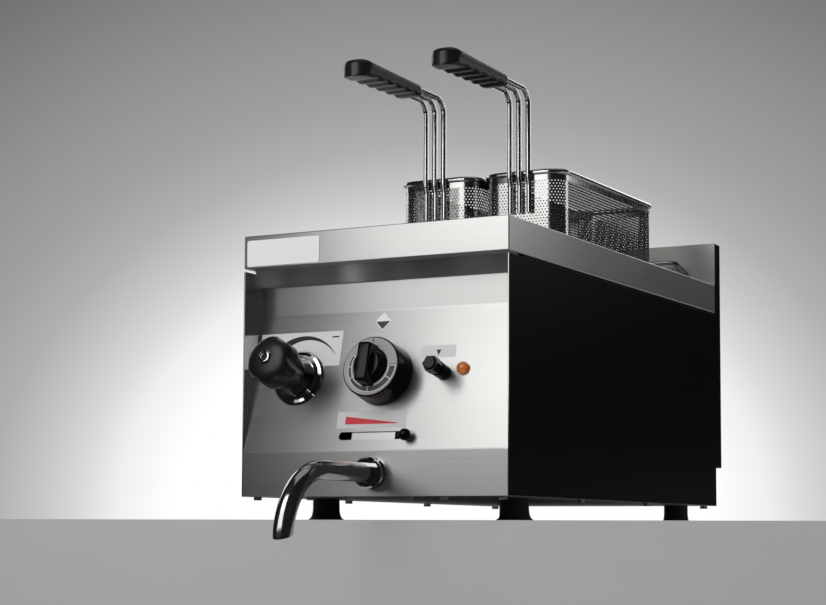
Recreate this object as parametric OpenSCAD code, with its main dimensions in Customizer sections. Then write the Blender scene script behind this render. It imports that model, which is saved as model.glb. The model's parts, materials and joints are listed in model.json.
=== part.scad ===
// Countertop electric pasta cooker with a fill tap, a drain spout and two lift-out baskets.
// Millimetres, +Z up, front towards -Y, origin on the worktop under the middle of the casing.

/* [Casing] */
// Width of the casing
body_w = 300; // [290:1:360]
// Depth of the casing with its rear cover
body_d = 600; // [590:1:680]
// Height of the rim above the worktop
rim_z = 290; // [284:1:320]
// Height of the feet
foot_h = 23; // [16:1:28]
// Thickness of the folded sheet
sheet = 1.5; // [1:0.1:2]
// Height of the rim band
rim_band = 34; // [28:1:40]
// Depth of the lip folded back under the front of the rim
rim_lip = 30; // [24:1:40]
// Gap between the side panels and the rim band
rim_gap = 2.5; // [2:0.5:8]
// Width of the frame rails' legs
rail_leg = 22; // [16:1:24]
// Height of the frame rails' upright legs
rail_h = 70; // [50:1:90]

/* [Rear] */
// Depth of the rear cover
cover_d = 20; // [15:1:40]
// Height of the rear cover's lower edge above the worktop
cover_z = 69; // [65:1:120]
// Height of the splash plate above the rim
splash_h = 51; // [40:1:90]
// Diameter of the basket rail's rod
rail_d = 6; // [4:0.5:8]
// Distance of the basket rail's bends from the casing's sides
rail_side = 44; // [36:1:70]
// Height of the basket rail above the rim
rail_z = 28; // [20:1:36]
// Distance of the basket rail from the splash plate
rail_off = 19; // [15:1:30]

/* [Front panel] */
// Height of the upright apron
apron_h = 45; // [40:1:50]
// How far the control face leans back over its height
slope_back = 35; // [28:1:40]
// Height of the upright band over the control face
band_h = 30; // [20:1:32]
// Height of the cove over that band
cove_h = 16; // [10:1:20]
// How far the cove comes forward
cove_run = 17; // [8:1:20]

/* [Tank] */
// Room between the tank and the casing's sides
tank_side = 46; // [42:1:60]
// Room between the tank and the back of the deck
tank_rear = 60; // [48:1:100]
// Depth of the tank below the rim
tank_depth = 178; // [160:1:190]
// Wall of the tank
tank_t = 1.2; // [0.8:0.1:2]
// Inside corner radius of the tank
tank_r = 26; // [15:1:40]
// Width of the tank's flange under the deck
tank_flange = 12; // [8:1:14]
// Depth of the control bay in front of the tank
bay_d = 232; // [225:1:240]
// Height of the false bottom's top above the tank floor
grate_h = 38; // [34:1:60]
// Thickness of the false bottom
grate_t = 1.5; // [1:0.1:3]
// Diameter of the heating element's tube
element_d = 8.5; // [6:0.5:10]
// Distance between the heating element's runs
element_pitch = 40; // [30:1:44]
// Height of the heating element above the tank floor
element_z = 14; // [10:1:15]

/* [Baskets] */
// Gap between a basket and the tank's side wall
basket_side = 5; // [3:0.5:10]
// Gap between a basket and the tank's end wall
basket_end = 6.5; // [4:0.5:15]
// Gap between the walls of the two baskets
basket_mid = 8; // [7:0.5:14]
// Height of the baskets' rims above the deck
basket_rise = 91; // [70:1:110]
// Thickness of the basket's sheet
basket_t = 1; // [0.6:0.1:1.5]
// Outside corner radius of the basket
basket_r = 20; // [12:1:30]
// Diameter of the rolled rim
basket_rim_d = 6; // [4:0.5:6.5]
// Width of the slots in the basket's floor
basket_slot = 5; // [3:0.5:8]

/* [Handles] */
// Diameter of the handle rods
rod_d = 6; // [4:0.5:7]
// Distance between the handle rods
rod_pitch = 11; // [9:0.5:13]
// Length of rod welded down the front wall
rod_weld = 44; // [30:1:60]
// Height of the grip's middle above the rim
grip_z = 89; // [70:1:120]
// Bend radius of the handle rods
rod_bend = 16; // [10:1:24]
// Distance from the rods to the near end of the grip
grip_start = 58; // [40:1:70]
// Length of the grip
grip_l = 128; // [110:1:150]
// Width of the grip
grip_w = 33; // [31:1:40]
// Height of the grip at its outer end
grip_t = 20; // [18:1:26]
// Number of finger grooves
grip_grooves = 5; // [3:1:6]
// Depth of the finger grooves
groove_depth = 3; // [1:0.5:4]

/* [Controls] */
// Height of the row of controls
control_z = 143; // [138:1:150]
// Distance of the fill tap from the casing's left side
tap_side = 56.5; // [50:0.5:65]
// Diameter of the tap's escutcheon
tap_rose_d = 58; // [48:1:62]
// Diameter of the tap's threaded barrel
tap_barrel_d = 22; // [18:1:26]
// Diameter of the tap's knob over its lobes
tap_knob_d = 51; // [40:1:54]
// Length of the tap's knob
tap_knob_l = 52; // [44:1:58]
// Diameter of the tap's knob at its neck
tap_neck_d = 33; // [28:1:36]
// Depth of the hollows between the lobes at the knob's front
tap_flute = 4; // [2:0.5:6]
// Distance of the tap knob's back from the panel
tap_stand = 16; // [12:1:22]
// Number of lobes on the tap knob
tap_lobes = 6; // [4:1:8]
// Place of the thermostat across the panel
thermo_x = 4.5; // [0:0.5:10]
// Diameter of the thermostat knob's skirt
thermo_d = 64; // [54:1:66]
// Height of the thermostat knob's skirt
thermo_skirt = 27; // [20:1:32]
// Height of the thermostat knob's bar above the skirt
thermo_bar = 17; // [10:1:22]
// Distance of the reset button from the casing's right side
reset_side = 79; // [76:0.5:84]
// Diameter of the reset button's cap
reset_d = 17; // [14:0.5:18]
// Length of the reset button in front of the panel
reset_l = 32; // [26:1:38]
// Travel of the reset button
reset_travel = 3; // [2:0.5:5]
// Distance of the pilot lamp from the reset button
lamp_gap = 21; // [21:0.5:30]
// Height of the pilot lamp above the row of controls
lamp_up = 3.5; // [0:0.5:8]
// Diameter of the pilot lamp's lens
lamp_d = 13; // [11:0.5:15]

/* [Drain] */
// Place of the drain across the casing
drain_x = 3; // [-5:0.5:8]
// Height of the drain lever
lever_z = 82.5; // [80:0.5:88]
// Distance of the lever's pivot behind the panel
lever_back = 30; // [28:0.5:34]
// Distance from the lever's pivot to its knob
lever_r = 52.5; // [52:0.5:58]
// Diameter of the lever's knob
lever_knob_d = 12; // [8:0.5:12]
// Diameter of the lever's rod
lever_d = 5; // [4:0.5:6]
// Angle of the closed lever from straight ahead
lever_closed = 45; // [40:1:48]
// Room beside the lever at the ends of its slot
slot_margin = 7.5; // [4:0.5:10]
// Room above and below the lever in its slot
slot_play = 1.5; // [1:0.1:2.5]
// Outer diameter of the drain pipe and spout
spout_d = 19; // [16:0.5:21]
// Wall of the drain pipe and spout
spout_t = 1.5; // [1:0.1:2.5]
// Length of the spout from the apron to its bend
spout_run = 97; // [60:1:120]
// Bend radius of the spout
spout_r = 68; // [45:1:80]
// Angle that the spout turns down
spout_turn = 88; // [60:1:90]
// Slant of the cut across the spout's tip
spout_cut = 22; // [0:1:30]
// Diameter of the spout's collar
collar_d = 31; // [30:0.5:36]
// Height of the water inlet and the cable gland
service_z = 45; // [40:1:50]

/* [Feet] */
// Diameter of a foot at its top
foot_top_d = 28; // [20:1:32]
// Diameter of a foot at the worktop
foot_d = 37; // [33:1:44]
// Distance of the feet from the casing's sides
foot_side = 41; // [30:1:50]
// Distance of the front feet from the casing's front
foot_front = 100; // [60:1:110]
// Distance of the rear feet from the casing's back
foot_rear = 28; // [25:1:60]

/* [Clearances] */
// Radial clearance of pieces that are fixed together
fit = 0.1; // [0.05:0.05:0.2]
// Radial clearance of pieces that turn or slide
run = 0.05; // [0.02:0.01:0.1]
// Gap between flat faces of pieces that move apart
gap = 0.3; // [0.2:0.1:0.5]

/* [Hidden] */
$fn = 64;
eps = 1;
front_y = -body_d / 2;
back_y = body_d / 2 - cover_d;
deck_d = back_y - front_y;
half_w = body_w / 2;
rail_half = half_w - rail_side;
inner_w = body_w - 2 * sheet;
deck_under = rim_z - sheet;
rim_under = rim_z - rim_band;
panel_top = rim_under - rim_gap;
base_top = foot_h + sheet;
rail_d_run = deck_d - slope_back - 3 * sheet;

apron_z = foot_h + apron_h;
slope_h = rim_under - cove_h - band_h - apron_z;
slope = atan(slope_back / slope_h);
panel_t = sheet * cos(slope);
band_y = front_y + slope_back;

tank_w = body_w - 2 * tank_side;
tank_l = deck_d - bay_d - tank_rear;
tank_y = front_y + bay_d + tank_l / 2;
tank_front = tank_y - tank_l / 2;
tank_floor = rim_z - tank_depth;
grate_top = tank_floor + grate_h;
element_mid = tank_floor + element_z;

wall_w = (tank_w - 2 * basket_side - basket_mid) / 2;
wall_l = tank_l - 2 * basket_end;
basket_x = (wall_w + basket_mid) / 2;
basket_floor = grate_top + gap;
rim_mid = rim_z + basket_rise - basket_rim_d / 2;
wall_front = tank_y - wall_l / 2;
rod_low_y = wall_front - rod_d / 2 - fit;
rod_top_y = wall_front + basket_t / 2 - basket_rim_d / 2 - rod_d / 2 - fit;
grip_mid = rim_mid + grip_z;
grip_near = rod_top_y - grip_start;
grip_depth = 40;
grip_near_t = 0.72 * grip_t;

drain_z = foot_h + apron_h / 2;
drain_bore = spout_d - 2 * spout_t;
pivot_y = panel_y(lever_z) + lever_back;
ball_d = drain_bore + 7;
valve_d = ball_d + 9;
valve_l = 44;
nipple_out = 4;
collar_seat = 11;
valve_front = pivot_y - valve_l / 2;
valve_rear = pivot_y + valve_l / 2;
stem_d = 8;
hub_d = 15;
hub_h = 10;
shutter_t = 1.2;
shutter_back = panel_t + gap + shutter_t;
shutter_reach = (lever_back - (shutter_back - shutter_t / 2) / cos(slope)) * tan(lever_closed);
slot_h = lever_d + 2 * slot_play;
slot_w = 2 * (lever_back * tan(lever_closed) + lever_d / 2 / cos(lever_closed) + slot_margin);
outlet_in = 40;
outlet_y = tank_front + outlet_in;
elbow_r = 26;

tap_x = tap_side - half_w;
tap_body_l = 52;
barrel_in = 16;
tap_body_d = tap_barrel_d + 12;
tap_reach = tap_stand + tap_knob_l;
rose_h = 8;
spindle_d = 9.5;
pipe_d = 12;
pipe_bore = 9;
fill_in = 37;
fill_drop = 30;
fill_x = tap_x + fill_in;
fill_z = rim_z - fill_drop;
inlet_d = 26.4;
gland_d = 20;
gland_x = -tap_x;
thermo_shaft_d = 6;
shaft_in = 12;
thermo_box = [46, 36, 34];
reset_box = [24, 28, 30];
bush_d = 12;
reset_x = half_w - reset_side;
lamp_x = reset_x + lamp_gap;
lamp_barrel_d = 10;
probe_d = 6;
probe_at = [thermo_x, reset_x - reset_box.x];
probe_z = tank_floor + 27;
screw_d = 5;
seam = 0.06;
seam_l = 0.3;
foot_x = half_w - foot_side;
foot_front_y = front_y + foot_front;
foot_rear_y = back_y - foot_rear;

// Depth of the sloped panel's face at a height
function panel_y(z) = front_y + (z - apron_z) * slope_back / slope_h;

// Point at a distance in front of the sloped panel, along its normal
function panel_point(x, z, off) = [x, panel_y(z) - off * cos(slope), z + off * sin(slope)];

// Frame on the sloped panel: local z points out of the panel, local y up along it
module on_panel(x, z) {
    translate([x, panel_y(z), z]) rotate([90 - slope, 0, 0]) children();
}

// Profile in (y, z) extruded across the part, centred on x = 0
module across(w) {
    translate([-w / 2, 0, 0]) rotate([90, 0, 90]) linear_extrude(w) children();
}

// Frame along the drain: local z points forward, from the pivot's distance
module along_drain(y) {
    translate([drain_x, y, drain_z]) rotate([90, 0, 0]) children();
}

module rounded_rect(w, l, r) {
    square([w - 2 * r, l], center = true);
    square([w, l - 2 * r], center = true);
    for (sx = [-1, 1], sy = [-1, 1])
        translate([sx * (w / 2 - r), sy * (l / 2 - r)]) circle(r);
}

module rod(p, q, d) {
    v = q - p;
    translate(p) rotate([0, acos(v.z / norm(v)), atan2(v.y, v.x)]) cylinder(h = norm(v), d = d);
}

function unit(v) = v / norm(v);

// Tangent length of the bend of radius r at point i of a path
function bend_cut(p, i, r) = r * tan(acos(unit(p[i] - p[i - 1]) * unit(p[i + 1] - p[i])) / 2);

// Round rod through a list of points, with a bend of radius r[i] at each inner point
// and a thin seam ring where a bend meets a straight length
module bent_rod(p, r, d) {
    last = len(p) - 1;
    cut = [for (i = [0 : last]) i == 0 || i == last ? 0 : bend_cut(p, i, r[i - 1])];
    for (i = [0 : last - 1]) {
        u = unit(p[i + 1] - p[i]);
        from = p[i] + cut[i] * u;
        to = p[i + 1] - cut[i + 1] * u;
        rod(from, to, d);
        if (i > 0) rod(from - seam_l * u, from + seam_l * u, d + seam);
        if (i < last - 1) rod(to - seam_l * u, to + seam_l * u, d + seam);
    }
    for (i = [1 : last - 1]) {
        u = unit(p[i] - p[i - 1]);
        v = unit(p[i + 1] - p[i]);
        w = unit(v - (u * v) * u);
        n = cross(u, w);
        c = p[i] - cut[i] * u + r[i - 1] * w;
        multmatrix([[-w.x, u.x, n.x, c.x], [-w.y, u.y, n.y, c.y], [-w.z, u.z, n.z, c.z]])
            rotate_extrude(angle = acos(u * v)) translate([r[i - 1], 0]) circle(d = d);
    }
}

// Closed wire round a rounded rectangle, at z = 0: four straight lengths butted to bends of short arcs
module wire_loop(w, l, r, d) {
    arcs = 5;
    arc = 90 / arcs;
    slit = seam / r * 180 / PI;
    length_x = w - 2 * r - 2 * seam;
    length_y = l - 2 * r - 2 * seam;
    for (sx = [-1, 1])
        translate([sx * w / 2, -length_y / 2, 0]) rotate([-90, 0, 0]) cylinder(h = length_y, d = d);
    for (sy = [-1, 1])
        translate([-length_x / 2, sy * l / 2, 0]) rotate([0, 90, 0]) cylinder(h = length_x, d = d);
    for (k = [0 : 3], a = [0 : arcs - 1])
        mirror([k % 2, 0, 0]) mirror([0, floor(k / 2), 0])
            translate([w / 2 - r, l / 2 - r, 0]) rotate([0, 0, a * arc])
                rotate_extrude(angle = arc - slit) translate([r, 0]) circle(d = d);
}

module top_deck() {
    color("silver") difference() {
        translate([-half_w, front_y, rim_under]) cube([body_w, deck_d, rim_band]);
        translate([-inner_w / 2, front_y + sheet, rim_under + sheet])
            cube([inner_w, deck_d - 2 * sheet, rim_band - 2 * sheet]);
        translate([-inner_w / 2, front_y + rim_lip, rim_under - eps])
            cube([inner_w, deck_d - rim_lip - sheet, rim_band - sheet]);
        translate([0, tank_y, deck_under - eps])
            linear_extrude(sheet + 2 * eps) rounded_rect(tank_w, tank_l, tank_r);
    }
}

module tank() {
    outer_w = tank_w + 2 * tank_t;
    outer_l = tank_l + 2 * tank_t;
    color("lightgray") difference() {
        translate([0, tank_y, 0]) difference() {
            union() {
                translate([0, 0, tank_floor - tank_t]) linear_extrude(deck_under - tank_floor + tank_t)
                    rounded_rect(outer_w, outer_l, tank_r + tank_t);
                translate([0, 0, deck_under - tank_t]) linear_extrude(tank_t)
                    rounded_rect(tank_w + 2 * tank_flange, tank_l + 2 * tank_flange, tank_r + tank_flange);
            }
            translate([0, 0, tank_floor]) linear_extrude(tank_depth) rounded_rect(tank_w, tank_l, tank_r);
        }
        translate([drain_x, outlet_y, tank_floor - tank_t - eps])
            cylinder(h = tank_t + 2 * eps, d = drain_bore);
        for (s = [-1, 1]) tank_hole(s * 1.5 * element_pitch, element_mid, bush_d);
        tank_hole(fill_x, fill_z, pipe_d + 2 * fit);
        for (x = probe_at) tank_hole(x, probe_z, probe_d + 2 * fit);
    }
}

// Hole through the tank's front wall
module tank_hole(x, z, d) {
    translate([x, tank_front + eps, z]) rotate([90, 0, 0]) cylinder(h = tank_t + 2 * eps, d = d);
}

module side_panel(side) {
    color("#1c1c1e") translate([side > 0 ? half_w - sheet : -half_w, front_y, foot_h])
        cube([sheet, deck_d, panel_top - foot_h]);
}

module side_panel_left() { side_panel(-1); }
module side_panel_right() { side_panel(1); }

module front_panel() {
    outer = [[front_y, foot_h], [front_y, apron_z], [band_y, apron_z + slope_h],
        [band_y, apron_z + slope_h + band_h], [band_y - cove_run, rim_under]];
    inner = [for (i = [len(outer) - 1 : -1 : 0]) outer[i] + [sheet, 0]];
    color("silver") difference() {
        across(inner_w) polygon(concat(outer, inner));
        panel_hole(tap_x, control_z, tap_barrel_d);
        panel_hole(thermo_x, control_z, bush_d);
        panel_hole(reset_x, control_z, bush_d);
        panel_hole(lamp_x, control_z + lamp_up, lamp_barrel_d);
        translate([drain_x, panel_y(lever_z) - 5, lever_z]) rotate([-90, 0, 0]) linear_extrude(10 + sheet)
            rounded_rect(slot_w, slot_h, slot_h / 2 - fit);
        along_drain(front_y + sheet + eps) cylinder(h = sheet + 2 * eps, d = spout_d + 6 + 2 * fit);
    }
}

// Hole for a control's barrel, square to the sloped panel
module panel_hole(x, z, d) {
    on_panel(x, z) translate([0, 0, -panel_t - eps]) cylinder(h = panel_t + 2 * eps, d = d + 2 * fit);
}

module back_panel() {
    color("silver") difference() {
        translate([-inner_w / 2, back_y - sheet, foot_h]) cube([inner_w, sheet, rim_under - foot_h]);
        for (p = [[tap_x, inlet_d], [gland_x, gland_d]])
            translate([p[0], back_y + eps, service_z]) rotate([90, 0, 0])
                cylinder(h = sheet + 2 * eps, d = p[1] + 2 * fit);
    }
}

module base_plate() {
    color("silver") difference() {
        translate([-inner_w / 2, front_y + sheet, foot_h]) cube([inner_w, deck_d - 2 * sheet, sheet]);
        at_feet() translate([0, 0, foot_h - eps]) cylinder(h = sheet + 2 * eps, d = screw_d + 2 * fit);
        at_base_screws() translate([0, 0, foot_h - eps]) cylinder(h = sheet + 2 * eps, d = screw_d + 2 * fit);
    }
}

module at_feet() {
    for (sx = [-1, 1], y = [foot_front_y, foot_rear_y]) translate([sx * foot_x, y, 0]) children();
}

// Screws along the edges of the base plate
module at_base_screws() {
    edge = 8 * sheet;
    for (sx = [-1, 1], k = [0 : 3])
        translate([sx * (half_w - edge), front_y + edge + k * (deck_d - 2 * edge) / 3, 0]) children();
    for (sx = [-1, 1], k = [1, 2])
        translate([sx * k * half_w / 4, front_y + edge, 0]) children();
}

// Angle rails that tie the deck to the side panels
module frame_rails() {
    color("gray") for (s = [0, 1]) mirror([s, 0, 0])
        translate([inner_w / 2, back_y - sheet - rail_d_run, 0]) {
            translate([-sheet, 0, deck_under - rail_h]) cube([sheet, rail_d_run, rail_h]);
            translate([-rail_leg, 0, deck_under - sheet]) cube([rail_leg, rail_d_run, sheet]);
        }
}

module rear_cover() {
    color("#1c1c1e") difference() {
        translate([-half_w, back_y, cover_z]) cube([body_w, cover_d, rim_z + splash_h - cover_z]);
        translate([-half_w - eps, back_y - eps, rim_z]) cube([body_w + 2 * eps, sheet + eps, splash_h + eps]);
        translate([-inner_w / 2, back_y - eps, cover_z + sheet])
            cube([inner_w, cover_d + eps - sheet, rim_z + splash_h - cover_z - 2 * sheet]);
    }
}

module splash_plate() {
    color("silver") translate([-half_w, back_y, rim_z]) cube([body_w, sheet, splash_h]);
}

// Bent rod that carries a drained basket, welded to the splash plate
module basket_rail() {
    bar_y = back_y - rail_off;
    bar_z = rim_z + rail_z;
    end_x = rail_half + 1.2 * rail_d;
    end_z = bar_z - 2 * rail_d;
    bend = 1.3 * rail_d;
    color("lightgray") bent_rod([[-end_x, back_y, end_z], [-end_x, back_y - bend, end_z],
        [-rail_half, bar_y, bar_z], [rail_half, bar_y, bar_z], [end_x, back_y - bend, end_z],
        [end_x, back_y, end_z]], [bend, bend, bend, bend], rail_d);
}

// Slotted plate on legs, over the heating element
module false_bottom() {
    slots = 9;
    plate_w = tank_w - 2 * basket_side;
    plate_l = tank_l - 2 * basket_end;
    step = plate_l / (slots + 1);
    color("lightgray") translate([0, tank_y, 0]) {
        translate([0, 0, grate_top - grate_t]) linear_extrude(grate_t) difference() {
            rounded_rect(plate_w, plate_l, tank_r - basket_side);
            for (k = [1 : slots], sx = [-1, 1])
                translate([sx * plate_w / 4, k * step - plate_l / 2])
                    square([plate_w / 2 - 20, step / 3], center = true);
        }
        for (sx = [-1, 1], sy = [-1, 1])
            translate([sx * (plate_w / 2 - 8), sy * (plate_l / 2 - 30), tank_floor])
                cylinder(h = grate_h - grate_t, d = 6);
    }
}

// Frame of one basket, at its middle on the plan
module at_basket(side) {
    translate([side * basket_x, tank_y, 0]) children();
}

// Rows of openings through both long walls and through both ends of a basket
module basket_openings() {
    columns = 12;
    rows = 4;
    end_columns = 3;
    margin = 14;
    low = basket_floor + margin;
    row = (rim_mid - margin - low) / rows;
    column = (wall_l - 2 * basket_r) / columns;
    end_column = (wall_w - 2 * basket_r) / end_columns;
    open_h = 0.7 * row;
    weld_z = rim_mid - rod_weld - rod_d;
    for (k = [0 : rows - 1]) {
        z = low + k * row + (row - open_h) / 2;
        for (c = [0 : columns - 1])
            translate([-wall_w, (c + 0.5 - columns / 2) * column - 0.3 * column, z])
                cube([2 * wall_w, 0.6 * column, open_h]);
        for (c = [0 : end_columns - 1]) {
            x = (c + 0.5 - end_columns / 2) * end_column - 0.3 * end_column;
            translate([x, 0, z]) cube([0.6 * end_column, wall_l, open_h]);
            translate([x, -wall_l, z]) cube([0.6 * end_column, wall_l, min(open_h, weld_z - z)]);
        }
    }
}

// Wall folded from one perforated sheet
module basket_wall(side) {
    color("lightgray") at_basket(side) difference() {
        translate([0, 0, basket_floor]) linear_extrude(rim_mid - basket_floor)
            rounded_rect(wall_w, wall_l, basket_r);
        translate([0, 0, basket_floor - eps]) linear_extrude(rim_mid - basket_floor + 2 * eps)
            rounded_rect(wall_w - 2 * basket_t, wall_l - 2 * basket_t, basket_r - basket_t);
        basket_openings();
    }
}

module basket_wall_left() { basket_wall(-1); }
module basket_wall_right() { basket_wall(1); }

// Slotted sheet welded into the foot of the wall
module basket_floor_sheet(side) {
    slots = 10;
    step = wall_l / (slots + 1);
    inset = basket_t + fit;
    color("lightgray") at_basket(side) translate([0, 0, basket_floor]) difference() {
        linear_extrude(basket_t) rounded_rect(wall_w - 2 * inset, wall_l - 2 * inset, basket_r - inset);
        for (k = [1 : slots])
            translate([0, k * step - wall_l / 2, -eps]) linear_extrude(basket_t + 2 * eps)
                rounded_rect(wall_w / 2, basket_slot, basket_slot / 2 - fit);
    }
}

module basket_floor_left() { basket_floor_sheet(-1); }
module basket_floor_right() { basket_floor_sheet(1); }

// Rim rolled over the wall's top edge
module basket_rim(side) {
    color("lightgray") at_basket(side) difference() {
        translate([0, 0, rim_mid])
            wire_loop(wall_w - basket_t, wall_l - basket_t, basket_r - basket_t / 2, basket_rim_d);
        translate([0, 0, rim_mid - basket_rim_d]) linear_extrude(basket_rim_d) difference() {
            rounded_rect(wall_w, wall_l, basket_r);
            rounded_rect(wall_w - 2 * basket_t, wall_l - 2 * basket_t, basket_r - basket_t);
        }
    }
}

module basket_rim_left() { basket_rim(-1); }
module basket_rim_right() { basket_rim(1); }

// Three rods welded down the front wall, joggled over the rim and bent forward into the grip
module handle_rods(side) {
    joggle = basket_rim_d;
    color("lightgray") for (k = [-1 : 1]) translate([side * basket_x + k * rod_pitch, 0, 0])
        bent_rod([[0, rod_low_y, rim_mid - rod_weld], [0, rod_low_y, rim_mid - 2.2 * joggle],
            [0, rod_top_y, rim_mid - 0.9 * joggle], [0, rod_top_y, grip_mid],
            [0, grip_near - grip_depth, grip_mid]], [8, 8, rod_bend], rod_d);
}

module handle_rods_left() { handle_rods(-1); }
module handle_rods_right() { handle_rods(1); }

// Crowned upper side of the grip, rising from its near end at x = 0
module grip_crown() {
    crown = 4;
    crown_r = (pow(grip_w / 2, 2) + pow(crown, 2)) / (2 * crown);
    rise = atan((grip_t - grip_near_t) / 2 / grip_l);
    translate([0, 0, grip_near_t / 2 - crown_r]) rotate([0, -rise, 0]) rotate([0, 90, 0])
        translate([0, 0, -grip_t]) cylinder(h = grip_l + 2 * grip_t, r = crown_r);
}

// Moulded grip with a round outer end, a crown above and below, and finger grooves underneath
module handle_grip(side) {
    near_w = grip_w - 3;
    far_w = grip_w - 2;
    end_r = grip_w / 2;
    groove_r = 13;
    pitch = (grip_l - end_r) / (grip_grooves + 0.5);
    color("#202022") translate([side * basket_x, grip_near, grip_mid]) difference() {
        rotate([0, 0, -90]) difference() {
            intersection() {
                union() {
                    translate([0, 0, -grip_t]) linear_extrude(2 * grip_t)
                        polygon([[0, -near_w / 2], [0, near_w / 2], [grip_l - end_r, far_w / 2],
                            [grip_l - end_r, -far_w / 2]]);
                    translate([grip_l - end_r, 0, -grip_t]) cylinder(h = 2 * grip_t, r = end_r);
                }
                grip_crown();
                mirror([0, 0, 1]) grip_crown();
            }
            for (k = [0 : grip_grooves - 1])
                translate([(k + 0.75) * pitch, 0, groove_depth - groove_r - grip_near_t / 2 - k * 0.4])
                    rotate([90, 0, 0]) cylinder(h = 2 * grip_w, r = groove_r, center = true);
        }
        for (k = [-1 : 1])
            translate([k * rod_pitch, eps, 0]) rotate([90, 0, 0])
                cylinder(h = grip_depth + eps, d = rod_d + 2 * fit);
    }
}

module handle_grip_left() { handle_grip(-1); }
module handle_grip_right() { handle_grip(1); }

// Tube bent to and fro over the tank floor, with both ends through the front wall
module heating_element() {
    turn = element_pitch / 2;
    far_y = tank_y + tank_l / 2 - 30 - turn;
    near_y = tank_front + 25 + turn;
    end_y = tank_front - tank_t - 26;
    color("dimgray") translate([0, 0, element_mid]) {
        for (s = [-1, 1]) {
            rod([s * 1.5 * element_pitch, end_y, 0], [s * 1.5 * element_pitch, far_y, 0], element_d);
            rod([s * turn, near_y, 0], [s * turn, far_y, 0], element_d);
            translate([s * element_pitch, far_y, 0]) rotate_extrude(angle = 180) translate([turn, 0])
                circle(d = element_d);
        }
        translate([0, near_y, 0]) rotate([0, 0, 180]) rotate_extrude(angle = 180) translate([turn, 0])
            circle(d = element_d);
    }
}

// Screwed bushes that carry the element in the tank's front wall
module element_bushes() {
    flange = 1.5 * bush_d;
    head = bush_d / 4;
    nut = 2 * bush_d / 3;
    color("goldenrod") for (s = [-1, 1])
        translate([s * 1.5 * element_pitch, tank_front, element_mid]) rotate([90, 0, 0]) difference() {
            union() {
                translate([0, 0, -head]) cylinder(h = head, d = flange);
                cylinder(h = tank_t, d = bush_d - 2 * fit);
                translate([0, 0, tank_t]) cylinder(h = nut, d = flange, $fn = 6);
            }
            translate([0, 0, -head - eps])
                cylinder(h = head + nut + tank_t + 2 * eps, d = element_d + 2 * fit);
        }
}

// Pipe from the tank's floor, round an elbow to the valve
module drain_pipe() {
    top = tank_floor - tank_t;
    color("lightgray") difference() {
        drain_run(top, valve_rear, spout_d);
        drain_run(top + eps, valve_rear - eps, drain_bore);
    }
}

module drain_run(top, end_y, d) {
    translate([drain_x, outlet_y, drain_z + elbow_r]) cylinder(h = top - drain_z - elbow_r, d = d);
    translate([drain_x, outlet_y - elbow_r, drain_z + elbow_r]) rotate([90, 0, 90]) rotate([0, 0, -90])
        rotate_extrude(angle = 90) translate([elbow_r, 0]) circle(d = d);
    along_drain(outlet_y - elbow_r) cylinder(h = outlet_y - elbow_r - end_y, d = d);
}

// Ball valve with hexagon ends, a nipple through the apron and a gland for the stem
module drain_valve() {
    hex_d = valve_d + 5;
    hex_l = 8;
    gland_top = drain_z + valve_d / 2 + 6;
    nipple_l = valve_front - front_y + nipple_out;
    color("goldenrod") difference() {
        union() {
            along_drain(valve_rear) cylinder(h = valve_l, d = valve_d);
            for (y = [valve_rear, valve_front + hex_l])
                along_drain(y) cylinder(h = hex_l, d = hex_d, $fn = 6);
            along_drain(valve_front) cylinder(h = nipple_l, d = spout_d + 6);
            translate([drain_x, pivot_y, drain_z]) cylinder(h = gland_top - drain_z, d = stem_d + 8);
        }
        translate([drain_x, pivot_y, drain_z]) sphere(d = ball_d + 2 * run);
        translate([drain_x, pivot_y, drain_z]) cylinder(h = gland_top - drain_z + eps, d = stem_d + 2 * run);
        along_drain(valve_rear + eps) cylinder(h = valve_l + nipple_l + 2 * eps, d = drain_bore);
    }
}

// Frame of the lever's pivot, turned to the closed lever
module at_lever() {
    translate([drain_x, pivot_y, 0]) rotate([0, 0, lever_closed - 90]) children();
}

// Ball with its bore across the flow when the lever is closed
module drain_ball() {
    slot = 4;
    color("silver") at_lever() translate([0, 0, drain_z]) difference() {
        sphere(d = ball_d);
        rotate([90, 0, lever_closed]) cylinder(h = 2 * ball_d, d = drain_bore, center = true);
        translate([-slot / 2, -ball_d, drain_bore / 2 + 1]) cube([slot, 2 * ball_d, ball_d]);
    }
}

// Stem with a tang in the ball's slot
module drain_stem() {
    tang = 4;
    foot = drain_z + drain_bore / 2 + 1;
    color("lightgray") at_lever() union() {
        translate([0, 0, foot]) intersection() {
            translate([-tang / 2, -stem_d, 0]) cube([tang, 2 * stem_d, ball_d]);
            cylinder(h = ball_d / 2 - drain_bore / 2 - 1 + fit, d = stem_d);
        }
        translate([0, 0, drain_z + ball_d / 2 + fit])
            cylinder(h = lever_z - hub_h / 2 - drain_z - ball_d / 2 - fit, d = stem_d);
    }
}

// Hub on the stem and a rod out through the slot
module drain_lever() {
    color("lightgray") at_lever() translate([0, 0, lever_z]) {
        translate([0, 0, -hub_h / 2]) cylinder(h = hub_h, d = hub_d);
        rotate([0, 90, 0]) cylinder(h = lever_r, d = lever_d);
    }
}

module drain_lever_knob() {
    color("#202022") at_lever() translate([lever_r, 0, lever_z]) difference() {
        sphere(d = lever_knob_d);
        translate([-lever_knob_d, 0, 0]) rotate([0, 90, 0]) cylinder(h = lever_knob_d, d = lever_d + 2 * fit);
    }
}

// Plate behind the slot that slides with the lever
module slot_shutter() {
    window = 12;
    left = -27;
    right = shutter_reach + 14;
    plate_h = slot_h + 8;
    color("silver") on_panel(drain_x, lever_z) translate([0, 0, -shutter_back])
        linear_extrude(shutter_t) difference() {
            translate([left, -plate_h / 2]) square([right - left, plate_h]);
            translate([shutter_reach - window / 2, -slot_h / 2]) square([window, slot_h]);
        }
}

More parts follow.
